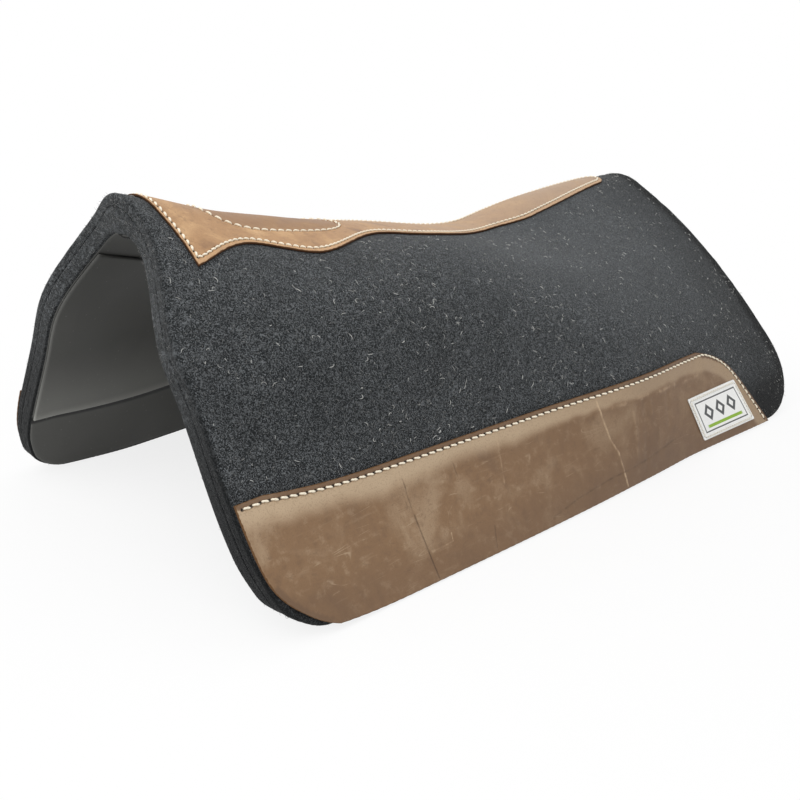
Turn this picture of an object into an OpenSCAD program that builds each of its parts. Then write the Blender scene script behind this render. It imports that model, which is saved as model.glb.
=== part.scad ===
// Western saddle pad: contoured wool felt with a spine leather, wear leathers and bar inserts.
// X runs across the pad, +X to the near (left) flap. Y runs along the spine, -Y to the front.
// Z is up, and Z = 0 is the surface that the hems stand on.
//
// Every sheet follows one curved surface. A place on it is [y, s]: y runs back along the spine
// from the front edge at the crest, and s runs down a flap from the crest (negative on the off
// side). A sheet lies at a depth below that surface: more than 0 inside, less than 0 outside.

/* [Outline] */
// Length along the crest
pad_length = 760; // [720:5:860]
// Distance down each flap, from the crest to the hem
flap_length = 400; // [390:5:440]
// Distances down the flap at which the front edge gives its lead
front_lead_s = [60, 150, 210, 330]; // [10:5:380]
// How far the front edge is ahead of the crest, at those distances and at the hem
front_lead = [-1, 23, 25, 27, 10]; // [-10:1:50]
// How far the rear edge sweeps back at the hem
rear_sweep = 37; // [0:1:60]
// Radius of the front bottom corners
front_corner_r = 32; // [20:1:100]
// Radius of the rear bottom corners
rear_corner_r = 88; // [20:1:100]
// Rise of the hem at the front edge
front_hem_rise = 8; // [0:1:20]
// Rise of the hem at the rear edge
rear_hem_rise = 2; // [0:1:20]

/* [Contour] */
// Distance of the withers section behind the front edge
withers_y = 114; // [90:2:150]
// Distance of the waist section behind the front edge
waist_y = 304; // [260:4:340]
// Distance of the seat section behind the front edge
seat_y = 434; // [400:2:460]
// Distance of the loin section behind the front edge
loin_y = 548; // [500:4:600]
// Distances down the flap at which each section gives its slope
slope_s = [30, 70, 130, 210, 300]; // [10:5:380]
// Slopes below level of the front edge, at those distances and at the hem
front_slopes = [36, 45, 53, 60, 58, 67]; // [1:1:88]
// Slopes of the withers section
withers_slopes = [24, 22, 40, 69, 67, 59]; // [1:1:88]
// Slopes of the waist section
waist_slopes = [5, 7, 31, 62, 70, 67]; // [1:1:88]
// Slopes of the seat section
seat_slopes = [10, 9, 18, 47, 75, 81]; // [1:1:88]
// Slopes of the loin section
loin_slopes = [31, 24, 21, 41, 72, 80]; // [1:1:88]
// Slopes of the rear edge
rear_slopes = [31, 33, 40, 47, 53, 65]; // [1:1:88]

/* [Felt and lining] */
// Thickness of the outer felt
outer_felt_t = 11.5; // [6:0.5:16]
// Thickness of the inner felt
inner_felt_t = 14.5; // [6:0.5:16]
// Width of the eased edges of both felts
felt_edge_w = 2.5; // [0.5:0.1:2.5]
// Extra depth of the inner felt under the crest, where the two halves meet
crest_fill = 8; // [1:0.5:10]
// Distance down each side over which that extra depth runs out
crest_fill_w = 56; // [30:2:70]
// Thickness of the lining
lining_t = 1.4; // [0.8:0.1:2.5]
// Distance from the crest to the lining's upper edge
lining_top = 10; // [7:1:16]
// Gap between the two halves at the sewn crest
seam_gap = 0.4; // [0.2:0.1:1]
// Gap between sheets that lie on each other
layer_gap = 0.3; // [0.2:0.05:0.5]

/* [Bar inserts] */
// Thickness of each insert
insert_t = 3; // [2:0.5:8]
// Distance from the crest to the insert's upper edge
insert_top = 72; // [60:2:110]
// Height of the insert's lower edge above the hem, measured up the flap
insert_ledge = 100; // [60:1:140]
// Distance of the insert's ends inside the felt's front and rear edges
insert_end_margin = 3; // [1:0.5:20]

/* [Leather] */
// Thickness of the spine leather
spine_leather_t = 2.2; // [1.4:0.1:3.5]
// Thickness of the wear leathers
wear_leather_t = 2.6; // [1.4:0.1:3.5]
// Seating gap between a leather and the felt's nap
leather_gap = 0.5; // [0.4:0.05:0.8]
// Distance of the spine leather's front corners behind the pad's front edge
spine_front_y = 26; // [12:1:40]
// Distance of the spine leather's rear tip behind the pad's front edge
spine_tip_y = 702; // [680:2:718]
// Forward bow of the spine leather's front edge
spine_front_bow = 6; // [0:0.5:12]
// Radius of the spine leather's rear tip
spine_tip_r = 19; // [8:1:22]
// Half width of the spine leather at its sharp front corners
spine_corner_w = 93; // [80:1:110]
// Half width at the neck behind the corners
spine_neck_w = 64; // [56:1:78]
// Half width of the lobes beside the withers
spine_lobe_w = 84; // [78:1:96]
// Half width of the narrow strip over the waist
spine_strip_w = 48; // [34:1:56]
// Half width of the swell behind that strip
spine_swell_w = 54; // [40:1:64]
// Half width of the strip under the saddle's seat
spine_seat_w = 31; // [26:1:46]
// Half width of the strip over the loin
spine_loin_w = 37; // [26:1:46]
// Distance of the neck behind the front corners
spine_neck_y = 65; // [45:1:80]
// Distance of the widest part of the lobes behind the front corners
spine_lobe_y = 131; // [110:1:150]
// Distance of the narrow strip behind the pad's front edge
spine_strip_y = 254; // [240:2:280]
// Distance of the swell behind the pad's front edge
spine_swell_y = 322; // [300:2:360]
// Distance of the seat strip behind the pad's front edge
spine_seat_y = 446; // [400:2:460]
// Distance of the loin strip behind the pad's front edge
spine_loin_y = 520; // [500:2:560]
// Height of the wear leathers, measured up the flap
wear_height = 112; // [104:1:128]
// Distance of the wear leathers' front edge inside the felt's
wear_front_margin = 2; // [2:0.5:10]
// Distance of their rear lower corner behind the pad's front edge
wear_rear_y = 704; // [660:2:714]
// Forward lean of their straight rear edge
wear_rear_lean = 72; // [30:1:80]
// Reach of the round at the top of that edge
wear_rear_round = 56; // [30:1:90]
// Height of the leathers' bottom edge above the floor, measured up the flap
wear_hem_gap = 1.5; // [1:0.25:4]

/* [Label patch] */
// Width of the patch
label_w = 108; // [60:1:110]
// Height of the patch
label_h = 54; // [30:1:56]
// Thickness of the patch
label_t = 1; // [0.6:0.1:1.6]
// Rearward lean of its ends
label_lean = 26; // [0:1:32]
// Distance of its rear top corner ahead of the wear leather's rear edge
label_rear_gap = 15; // [11:1:60]
// Distance of its top edge below the wear leather's
label_drop = 46; // [36:1:50]

/* [Stitching] */
// Diameter of the thread
thread_d = 1.4; // [0.8:0.1:1.6]
// Pitch of the stitching round the spine leather
spine_pitch = 6.5; // [5:0.5:10]
// Pitch of the stitching round the oval and on the wear leathers
wear_pitch = 8.5; // [6:0.5:12]
// Share of either pitch that the thread lies on top
stitch_cover = 0.76; // [0.5:0.02:0.85]
// Distance of the stitching inside the leathers' long edges
stitch_inset = 5; // [3.5:0.5:7]
// Distance of the stitching inside the spine leather's front edge
front_stitch_inset = 3.5; // [3:0.25:7]
// Pitch of the stitching round the label
label_pitch = 4.5; // [3.5:0.5:8]
// Share of that pitch that the thread lies on top
label_cover = 0.62; // [0.4:0.02:0.7]
// Distance of that stitching inside the label's edge
label_inset = 3; // [2:0.25:5]
// Half length of the oval of stitches over the withers
oval_half_length = 79; // [60:1:94]
// Half width of that oval
oval_half_width = 43; // [20:1:48]
// Distance of the oval's centre behind the pad's front edge
oval_y = 152; // [136:1:160]
// Half width of the zigzag that joins the two halves
zigzag_half_width = 5; // [3:0.5:6]
// Advance of the zigzag with each stitch
zigzag_pitch = 6; // [5:0.5:12]
// Share of that advance that one stitch spans
zigzag_cover = 0.7; // [0.4:0.02:0.74]
// Half width of the tape over the zigzag
tape_half_width = 20; // [16:1:30]
// Thickness of the tape
tape_t = 1.2; // [0.6:0.1:2]
// Distance of the tape's ends inside the front and rear edges
tape_end_margin = 6; // [2:1:20]

/* [Hidden] */

felt_color = "#45484a";
inner_felt_color = "#55585a";
lining_color = "#3b3b39";
leather_color = "#8a7057";
spine_leather_color = "#b08d66";
label_color = "#ece9e1";
thread_color = "#e8dcc0";

// Grid steps of the sheets: along the pad, beside the crest, down a flap, and round its corners
along_steps = 24;
crest_steps = 5;
down_steps = 7;
corner_steps = 6;
leather_steps = 10;
thread_fn = 16;

// Depths of the layers
inner_felt_n = outer_felt_t + layer_gap;
lining_n = inner_felt_n + inner_felt_t + layer_gap;
insert_n = lining_n + lining_t + layer_gap;
wear_leather_n = -leather_gap - wear_leather_t;
spine_leather_n = -leather_gap - spine_leather_t;
label_n = wear_leather_n - layer_gap - label_t;

// ---- The surface ----

station_y = [0, withers_y, waist_y, seat_y, loin_y, pad_length];
station_slopes = [front_slopes, withers_slopes, waist_slopes, seat_slopes, loin_slopes, rear_slopes];
knot_s = concat([0], slope_s, [flap_length]);

// Smooth curve through values v at places t, held level beyond its ends
function tangent(t, v, i) =
    let (a = max(i - 1, 0), b = min(i + 1, len(t) - 1)) (v[b] - v[a]) / (t[b] - t[a]);
function span_of(t, p, i = 0) = i >= len(t) - 2 || p < t[i + 1] ? i : span_of(t, p, i + 1);
function curve(t, v, place) =
    let (
        p = min(max(place, t[0]), t[len(t) - 1]),
        i = span_of(t, p),
        h = t[i + 1] - t[i],
        u = (p - t[i]) / h
    )
    (1 + 2 * u) * (1 - u) ^ 2 * v[i] + u * (1 - u) ^ 2 * h * tangent(t, v, i)
    + (3 - 2 * u) * u ^ 2 * v[i + 1] + (u - 1) * u ^ 2 * h * tangent(t, v, i + 1);

// Across the pad each section is a chain of arcs: its slope turns evenly from knot to knot
function arc(a, b, d) =
    abs(b - a) < 0.01 ? [d * cos(a), d * sin(a)]
    : [sin(b) - sin(a), cos(a) - cos(b)] * d / (b - a) * 180 / PI;
function slope(g, s, i) = g[i] + (g[i + 1] - g[i]) * (s - knot_s[i]) / (knot_s[i + 1] - knot_s[i]);
function run(g, s, i = 0) =
    i > len(knot_s) - 2 || s <= knot_s[i] ? [0, 0]
    : let (e = i == len(knot_s) - 2 ? s : min(s, knot_s[i + 1]))
        arc(g[i], slope(g, e, i), e - knot_s[i]) + run(g, s, i + 1);
function hem_rise(y) =
    front_hem_rise * max(0, 1 - max(y, 0) / withers_y) ^ 2
    + rear_hem_rise * max(0, (min(y, pad_length) - loin_y) / (pad_length - loin_y)) ^ 2;

// The point at [y, s] and depth n. Towards the hem the cut turns level, so that the hem's face
// is flat whatever the depth.
function on_pad(q, n) =
    let (
        g = concat([0], curve(station_y, station_slopes, q[0])),
        hem_slope = g[len(g) - 1],
        down = abs(q[1]),
        turn = max(0, 1 - (flap_length - down) / insert_ledge),
        s = down - n / tan(hem_slope) * turn,
        a = slope(g, s, span_of(knot_s, s)),
        p = run(g, s),
        drop = run(g, flap_length)[1],
        rise = hem_rise(q[0]),
        z = down >= flap_length ? rise : rise + drop - p[1] - n * cos(a)
    )
    [(q[1] < 0 ? -1 : 1) * (p[0] - n * sin(a)), q[0] - y_middle, z];

// ---- Edges ----

function corner(s, r) =
    s <= flap_length - r ? 0 : r - sqrt(max(0, r ^ 2 - (s - flap_length + r) ^ 2));
lead_s = concat([0], front_lead_s, [flap_length]);
lead = concat([0], front_lead);
function front_edge(s) = corner(s, front_corner_r) - curve(lead_s, lead, s);
function rear_edge(s) =
    pad_length - corner(s, rear_corner_r) + rear_sweep * (s / flap_length) ^ 1.5;
function mix(a, b, u) = a + (b - a) * u;

// Rows of a flap from the crest to the hem: close together at the crest and round the corners,
// with one row at each long edge of the bar insert
insert_bottom = flap_length - insert_ledge;
corner_top = flap_length - max(front_corner_r, rear_corner_r);
corner_rows = [for (i = [0 : corner_steps]) mix(corner_top, flap_length, sin(90 * i / corner_steps))];
flap_rows = concat(
    [for (i = [0 : crest_steps]) insert_top * (i / crest_steps) ^ 1.5],
    [for (i = [1 : down_steps]) mix(insert_top, insert_bottom, i / down_steps)],
    [for (s = corner_rows) if (s > insert_bottom + 2) s]
);
y_middle = (min([for (s = flap_rows) front_edge(s)]) + max([for (s = flap_rows) rear_edge(s)])) / 2;

// Half width of the spine leather
spine_outline_y = [spine_front_y, spine_front_y + spine_neck_y, spine_front_y + spine_lobe_y,
                   spine_strip_y, spine_swell_y, spine_seat_y, spine_loin_y,
                   spine_tip_y - spine_tip_r];
spine_outline_w = [spine_corner_w, spine_neck_w, spine_lobe_w,
                   spine_strip_w, spine_swell_w, spine_seat_w, spine_loin_w,
                   spine_tip_r];
function spine_half_width(y) =
    let (w = curve(spine_outline_y, spine_outline_w, y), past = y - (spine_tip_y - spine_tip_r))
    past <= 0 ? w : sqrt(max(0.6, spine_tip_r ^ 2 - past ^ 2));
// A place on the spine leather, moved forward by the bow of its front edge
function bowed(q) =
    let (back = max(0, 1 - (q[0] - spine_front_y) / spine_neck_y))
    [q[0] - spine_front_bow * back * max(0, 1 - (q[1] / spine_corner_w) ^ 2) ^ 3, q[1]];

// Rear edge of a wear leather
wear_top = flap_length - wear_height;
function wear_rear(s) =
    let (up = (flap_length - s) / wear_height)
    wear_rear_y - wear_rear_lean * up - wear_rear_round * up ^ 8;

// ---- Sheets ----

// A grid is a list of rows of places. A level is [grid, depth, crest fill at that depth].
function depth_at(level, q) =
    level[1] + level[2] * max(0, 1 - (q[1] / crest_fill_w) ^ 2) ^ 2;
function face_of(level) = [for (row = level[0]) for (q = row) on_pad(q, depth_at(level, q))];
// Places round a grid's rim as [row, column]
function rim(r, c) = concat(
    [for (j = [0 : c - 1]) [0, j]], [for (i = [0 : r - 1]) [i, c]],
    [for (j = [c : -1 : 1]) [r, j]], [for (i = [r : -1 : 1]) [i, 0]]);

// A solid sheet from its outer level to its inner one. Levels between them shape its edge.
module sheet(levels) {
    r = len(levels[0][0]) - 1;
    c = len(levels[0][0][0]) - 1;
    last = len(levels) - 1;
    rim_places = rim(r, c);
    m = len(rim_places);
    face_points = (r + 1) * (c + 1);
    points = concat(
        face_of(levels[0]),
        face_of(levels[last]),
        [for (l = [1 : 1 : last - 1]) for (e = rim_places)
            let (q = levels[l][0][e[0]][e[1]]) on_pad(q, depth_at(levels[l], q))]
    );
    function at(i, j, back = 0) = back * face_points + i * (c + 1) + j;
    function rim_at(l, k) =
        let (e = rim_places[k % m])
        l == 0 ? at(e[0], e[1]) : l == last ? at(e[0], e[1], 1)
        : 2 * face_points + (l - 1) * m + k % m;
    faces = concat(
        [for (i = [0 : r - 1]) for (j = [0 : c - 1]) each [
            [at(i, j), at(i, j + 1), at(i + 1, j + 1)],
            [at(i, j), at(i + 1, j + 1), at(i + 1, j)],
            [at(i, j, 1), at(i + 1, j + 1, 1), at(i, j + 1, 1)],
            [at(i, j, 1), at(i + 1, j, 1), at(i + 1, j + 1, 1)]
        ]],
        [for (l = [0 : last - 1]) for (k = [0 : m - 1]) each [
            [rim_at(l, k + 1), rim_at(l, k), rim_at(l + 1, k)],
            [rim_at(l, k + 1), rim_at(l + 1, k), rim_at(l + 1, k + 1)]
        ]]
    );
    polyhedron(points, faces, convexity = 8);
}

// Grid between rows of s, from one edge curve to the other. The last row may be lifted.
function flap_grid(rows, inset, lift = 0) = [
    for (s = rows)
        let (down = s >= flap_length ? s - lift : s)
        [for (j = [0 : along_steps])
            [mix(front_edge(s) + inset, rear_edge(s) - inset, j / along_steps), down]]
];
// Both levels of a plain sheet on one grid
function plain(grid, n, t, fill_out = 0, fill_in = 0) = [[grid, n, fill_out], [grid, n + t, fill_in]];
// Four levels of a felt, with its outer edges eased
function eased(n, t, fill_out, fill_in) = [
    [flap_grid(flap_rows, felt_edge_w, felt_edge_w), n, fill_out],
    [flap_grid(flap_rows, 0), n + felt_edge_w, fill_out],
    [flap_grid(flap_rows, 0), n + t - felt_edge_w, fill_in],
    [flap_grid(flap_rows, felt_edge_w, felt_edge_w), n + t, fill_in]
];

// The off side mirrors the near side
module near_side() {
    translate([seam_gap / 2, 0, 0]) children();
}
module off_side() {
    mirror([1, 0, 0]) near_side() children();
}

// ---- Felt, lining and inserts ----

module outer_felt() {
    color(felt_color) sheet(eased(0, outer_felt_t, 0, 0));
}

module inner_felt() {
    color(inner_felt_color) sheet(eased(inner_felt_n, inner_felt_t, 0, crest_fill));
}

module lining() {
    rows = concat([lining_top], [for (s = flap_rows) if (s > lining_top + 1) s]);
    grid = flap_grid(rows, felt_edge_w, felt_edge_w);
    color(lining_color) sheet(plain(grid, lining_n, lining_t, crest_fill, crest_fill));
}

module bar_insert() {
    rows = [for (s = flap_rows) if (s >= insert_top && s <= insert_bottom) s];
    color(lining_color)
        sheet(plain(flap_grid(rows, insert_end_margin), insert_n, insert_t, crest_fill, crest_fill));
}

// Places across the crest, from the off side to the near side, where the half width is w
function across(w, y, steps) =
    [for (i = [-steps : steps]) [y, sign(i) * w * (abs(i) / steps) ^ 1.3]];
// Turns a list of columns into a list of rows
function rows_of(columns) =
    [for (i = [0 : len(columns[0]) - 1]) [for (col = columns) col[i]]];

module spine_seam_tape() {
    columns = [for (j = [0 : along_steps])
        across(tape_half_width, mix(tape_end_margin, pad_length - tape_end_margin, j / along_steps), 3)];
    color(lining_color)
        sheet(plain(rows_of(columns), insert_n, tape_t, crest_fill, crest_fill));
}

// ---- Leather ----

module spine_leather() {
    straight = spine_tip_y - spine_tip_r;
    steps = along_steps + corner_steps;
    places = concat(
        [for (j = [0 : steps]) mix(spine_front_y, straight, (j / steps) ^ 1.25)],
        [for (j = [1 : corner_steps]) straight + spine_tip_r * sin(90 * j / corner_steps)]
    );
    columns = [for (y = places)
        [for (q = across(spine_half_width(y), y, leather_steps)) bowed(q)]];
    color(spine_leather_color) sheet(plain(rows_of(columns), spine_leather_n, spine_leather_t));
}

module wear_leather() {
    rows = [for (i = [0 : leather_steps])
        mix(wear_top, flap_length - wear_hem_gap, (i / leather_steps) ^ 1.5)];
    grid = [for (s = rows) [for (j = [0 : along_steps])
        [mix(front_edge(s) + wear_front_margin, wear_rear(s), j / along_steps), s]]];
    color(leather_color) sheet(plain(grid, wear_leather_n, wear_leather_t));
}

label_top = wear_top + label_drop;
label_y = wear_rear(label_top) - label_rear_gap - label_w;
// Place on the label, u along it and v down it, both from 0 to 1
function on_label(u, v) = [label_y + label_w * u + label_lean * v, label_top + label_h * v];

module label_patch() {
    grid = [for (v = [0 : 0.25 : 1]) [for (u = [0 : 0.125 : 1]) on_label(u, v)]];
    color(label_color) sheet(plain(grid, label_n, label_t));
}

// ---- Stitching ----

module thread(a, b) {
    v = b - a;
    translate(a)
        rotate([0, acos(v.z / norm(v)), atan2(v.y, v.x)])
            cylinder(d = thread_d, h = norm(v), $fn = thread_fn);
}

// Distances along a path of places, from its start to each place
function distances(path, i = 0, d = 0) =
    i == len(path) - 1 ? [d]
    : concat([d], distances(path, i + 1, d + norm(path[i + 1] - path[i])));

// Stitches along a path of places, on top of a sheet whose outer face is at depth n
module stitch_row(path, pitch, n, cover = stitch_cover) {
    d = distances(path);
    y_at = [for (i = [0 : len(path) - 1]) [d[i], path[i][0]]];
    s_at = [for (i = [0 : len(path) - 1]) [d[i], path[i][1]]];
    count = floor(d[len(d) - 1] / pitch);
    step = d[len(d) - 1] / count;
    top = n - layer_gap - thread_d / 2;
    color(thread_color)
        for (k = [0 : count - 1])
            let (
                a = (k + (1 - cover) / 2) * step,
                b = a + cover * step
            )
            thread(on_pad([lookup(a, y_at), lookup(a, s_at)], top),
                   on_pad([lookup(b, y_at), lookup(b, s_at)], top));
}

module spine_leather_stitching() {
    first = spine_front_y + front_stitch_inset;
    last = spine_tip_y - stitch_inset;
    tip = last - (spine_tip_r - stitch_inset);
    side_inset = 1.15 * stitch_inset;
    front_w = spine_half_width(first) - side_inset;
    front = [for (i = [0 : leather_steps - 1]) [first, front_w * i / leather_steps]];
    side = concat(
        [for (j = [0 : 60])
            let (y = mix(first, tip, j / 60)) [y, spine_half_width(y) - side_inset]],
        [for (t = [10 : 10 : 90])
            [tip + (last - tip) * sin(t), (spine_half_width(tip) - side_inset) * cos(t)]]
    );
    near = [for (q = concat(front, side)) bowed(q)];
    off = [for (i = [len(near) - 1 : -1 : 0]) [near[i][0], -near[i][1]]];
    stitch_row(concat(near, off), spine_pitch, spine_leather_n);
}

module wither_oval_stitching() {
    power = 0.7;   // below 1 this squares the oval's ends
    path = [for (t = [0 : 5 : 360]) [
        oval_y - oval_half_length * sign(cos(t)) * abs(cos(t)) ^ power,
        oval_half_width * sign(sin(t)) * abs(sin(t)) ^ power
    ]];
    stitch_row(path, wear_pitch, spine_leather_n);
}

module wear_leather_stitching() {
    top = wear_top + stitch_inset;
    bottom = flap_length - wear_hem_gap - stitch_inset;
    front = front_edge(top) + wear_front_margin + stitch_inset;
    path = concat(
        [[front, top]],
        [for (i = [0 : 20])
            let (s = mix(top, bottom, (i / 20) ^ 1.6)) [wear_rear(s) - 1.15 * stitch_inset, s]]
    );
    stitch_row(path, wear_pitch, wear_leather_n);
}

module label_stitching() {
    iu = label_inset / label_w;
    iv = label_inset / label_h;
    corners = [on_label(iu, iv), on_label(1 - iu, iv), on_label(1 - iu, 1 - iv),
               on_label(iu, 1 - iv)];
    // The row along each side stops a thread's width short of the corners
    for (i = [0 : 3])
        let (
            a = corners[i],
            b = corners[(i + 1) % 4],
            short = thread_d * (b - a) / norm(b - a)
        )
        stitch_row([a + short, b - short], label_pitch, label_n, label_cover);
}

// The zigzag lies on the inner felt, in the strip that the lining leaves bare
module spine_seam_stitching() {
    count = floor((pad_length - 2 * tape_end_margin) / zigzag_pitch) - 1;
    n = lining_n + thread_d / 2;
    level = [[], n, crest_fill];
    color(thread_color)
        for (k = [0 : count - 1])
            let (
                side = k % 2 == 0 ? 1 : -1,
                y = 2 * tape_end_margin + k * zigzag_pitch,
                a = [y, side * zigzag_half_width],
                b = [y + zigzag_pitch * zigzag_cover, -side * zigzag_half_width]
            )
            thread(on_pad(a, depth_at(level, a)), on_pad(b, depth_at(level, b)));
}

near_side() outer_felt();  // outer_felt_left
off_side() outer_felt();  // outer_felt_right
near_side() inner_felt();  // inner_felt_left
off_side() inner_felt();  // inner_felt_right
near_side() lining();  // lining_left
off_side() lining();  // lining_right
near_side() bar_insert();  // bar_insert_left
off_side() bar_insert();  // bar_insert_right
spine_leather();
near_side() wear_leather();  // wear_leather_left
off_side() wear_leather();  // wear_leather_right
near_side() label_patch();
spine_seam_tape();
spine_seam_stitching();
spine_leather_stitching();
wither_oval_stitching();
near_side() wear_leather_stitching();  // wear_leather_stitching_left
off_side() wear_leather_stitching();  // wear_leather_stitching_right
near_side() label_stitching();
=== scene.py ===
"""Western saddle pad: contoured wool felt, smooth-lined bar inserts, spine and wear leathers.

Every sheet follows one curved surface. A place on it is (y, s): y runs back along the spine from
the front edge at the crest, and s runs down a flap from the crest, negative on the off side.
Depth is more than 0 below that surface and less than 0 above it. Lengths are in metres, and the
near (left) flap is on +X.
"""

import math
from typing import NamedTuple

import bpy
import numpy as np
from mathutils import Euler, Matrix, Vector, geometry, kdtree


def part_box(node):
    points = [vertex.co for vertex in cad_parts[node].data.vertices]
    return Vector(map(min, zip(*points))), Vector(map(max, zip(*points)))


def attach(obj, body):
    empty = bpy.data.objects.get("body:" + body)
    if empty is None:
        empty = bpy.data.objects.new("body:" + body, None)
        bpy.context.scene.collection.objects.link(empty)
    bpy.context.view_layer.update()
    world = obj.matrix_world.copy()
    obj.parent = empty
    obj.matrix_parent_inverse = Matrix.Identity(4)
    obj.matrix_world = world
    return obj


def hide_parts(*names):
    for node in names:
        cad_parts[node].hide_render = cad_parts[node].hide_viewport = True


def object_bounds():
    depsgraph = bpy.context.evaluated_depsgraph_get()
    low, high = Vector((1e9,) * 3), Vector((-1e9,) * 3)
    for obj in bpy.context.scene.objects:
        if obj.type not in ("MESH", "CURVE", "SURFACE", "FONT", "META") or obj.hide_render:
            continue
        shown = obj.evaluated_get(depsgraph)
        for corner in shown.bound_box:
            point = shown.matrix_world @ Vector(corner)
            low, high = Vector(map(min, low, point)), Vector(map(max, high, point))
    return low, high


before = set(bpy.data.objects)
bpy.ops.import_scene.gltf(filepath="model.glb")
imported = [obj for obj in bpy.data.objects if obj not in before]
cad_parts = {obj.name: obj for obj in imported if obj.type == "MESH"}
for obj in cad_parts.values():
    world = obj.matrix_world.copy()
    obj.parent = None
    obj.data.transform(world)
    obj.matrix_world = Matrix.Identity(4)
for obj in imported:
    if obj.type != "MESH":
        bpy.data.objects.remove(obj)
cad_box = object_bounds()

bl_info = {
    "name": "Saddle Pad",
    "version": (1, 0, 0),
    "blender": (4, 5, 0),
    "location": "View3D > Sidebar > Saddle Pad",
    "description": "Builds the felt, leathers, inserts and stitching of a western saddle pad",
    "category": "Add Mesh",
}

NEAR, OFF = 1, -1
SIDE_NAMES = {NEAR: "left", OFF: "right"}
MM = 0.001
FIBRE_SEED = 7
PLACE_TOLERANCE = 12 * MM        # How far a piece's box may be off the box of its CAD node
FLOOR_DROP = 0.2 * MM            # How far the floor lies below the hem


# ---- Settings ----

def rgb(code):
    """Linear colour of a hex code."""
    parts = [int(code[i:i + 2], 16) / 255 for i in (0, 2, 4)]
    return tuple(c / 12.92 if c <= 0.04045 else ((c + 0.055) / 1.055) ** 2.4 for c in parts) + (1.0,)


def length(name, default, description):
    """One size, in metres."""
    return bpy.props.FloatProperty(
        name=name, default=default, description=description, unit="LENGTH", precision=4)


def number(name, default, description):
    """One plain number."""
    return bpy.props.FloatProperty(name=name, default=default, description=description)


def whole(name, default, description):
    """One whole number."""
    return bpy.props.IntProperty(name=name, default=default, description=description, min=0)


def angle(name, default, description):
    """One angle, given in degrees."""
    return bpy.props.FloatProperty(
        name=name, default=math.radians(default), description=description, subtype="ANGLE")


def lengths(name, default, description):
    """Several sizes, in metres."""
    return bpy.props.FloatVectorProperty(
        name=name, size=len(default), default=default, description=description, unit="LENGTH")


def slopes(name, default):
    """The slopes of one section, in degrees."""
    return bpy.props.FloatVectorProperty(
        name=name, size=6, default=default,
        description="Degrees below level, at the slope distances and at the hem")


def colour(name, code, description):
    """One colour, given as a hex code."""
    return bpy.props.FloatVectorProperty(
        name=name, size=4, default=rgb(code), description=description,
        subtype="COLOR", min=0.0, max=1.0)


class PadOutline(bpy.types.PropertyGroup):
    """Outline of the felt"""
    pad_length: length("Pad length", 0.760, "Length along the crest")
    flap_length: length("Flap length", 0.400, "Distance from the crest to the hem")
    front_lead_s: lengths("Lead distances", (0.060, 0.150, 0.210, 0.330),
                          "Distances down the flap at which the front edge gives its lead")
    front_lead: lengths("Front lead", (-0.001, 0.023, 0.025, 0.027, 0.010),
                        "How far it is ahead of the crest, at those distances and at the hem")
    rear_sweep: length("Rear sweep", 0.037, "How far the rear edge sweeps back at the hem")
    front_corner_r: length("Front corner", 0.032, "Radius of the front bottom corners")
    rear_corner_r: length("Rear corner", 0.088, "Radius of the rear bottom corners")
    front_hem_rise: length("Front rise", 0.008, "Rise of the hem at the front edge")
    rear_hem_rise: length("Rear rise", 0.002, "Rise of the hem at the rear edge")


class PadContour(bpy.types.PropertyGroup):
    """Sections across the pad"""
    withers_y: length("Withers", 0.114, "Distance of its section behind the front")
    waist_y: length("Waist", 0.304, "Distance of its section behind the front")
    seat_y: length("Seat", 0.434, "Distance of its section behind the front")
    loin_y: length("Loin", 0.548, "Distance of its section behind the front")
    slope_s: lengths("Slope distances", (0.030, 0.070, 0.130, 0.210, 0.300),
                     "Distances down the flap at which each section gives its slope")
    front: slopes("Front slopes", (36, 45, 53, 60, 58, 67))
    withers: slopes("Withers slopes", (24, 22, 40, 69, 67, 59))
    waist: slopes("Waist slopes", (5, 7, 31, 62, 70, 67))
    seat: slopes("Seat slopes", (10, 9, 18, 47, 75, 81))
    loin: slopes("Loin slopes", (31, 24, 21, 41, 72, 80))
    rear: slopes("Rear slopes", (31, 33, 40, 47, 53, 65))


class PadLayers(bpy.types.PropertyGroup):
    """Felt, lining, inserts and tape"""
    outer_felt_t: length("Outer felt", 0.0115, "Thickness of the outer felt")
    inner_felt_t: length("Inner felt", 0.0145, "Thickness of the inner felt")
    outer_round: length("Outer round", 0.0045, "Round along the outer felt's cut edge")
    groove_round: length("Groove round", 0.0008, "Rounds along the groove between the two felts")
    crest_fill: length("Crest fill", 0.008, "Extra depth of the inner felt under the crest")
    crest_fill_w: length("Fill reach", 0.056, "Distance down each side over which it runs out")
    lining_t: length("Lining", 0.0014, "Thickness of the lining")
    lining_top: length("Lining top", 0.010, "Distance of its upper edge from the crest")
    hem_clear: length("Lining hem", 0.0025, "Distance of the lining's edge inside the felt's")
    insert_t: length("Insert", 0.003, "Thickness of each bar insert")
    insert_top: length("Insert top", 0.072, "Distance of its upper edge from the crest")
    insert_ledge: length("Insert ledge", 0.100, "Height of its lower edge, up the flap")
    insert_margin: length("Insert margin", 0.003, "Distance of its ends inside the felt's edges")
    tape_half_width: length("Tape half width", 0.020, "Half width of the seam tape")
    tape_t: length("Tape", 0.0012, "Thickness of the seam tape")
    tape_margin: length("Tape margin", 0.006, "Distance of the tape's ends inside the edges")
    seam_gap: length("Seam gap", 0.0004, "Gap between the two halves at the crest")
    layer_gap: length("Layer gap", 0.0003, "Gap between sheets that lie on each other")


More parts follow.
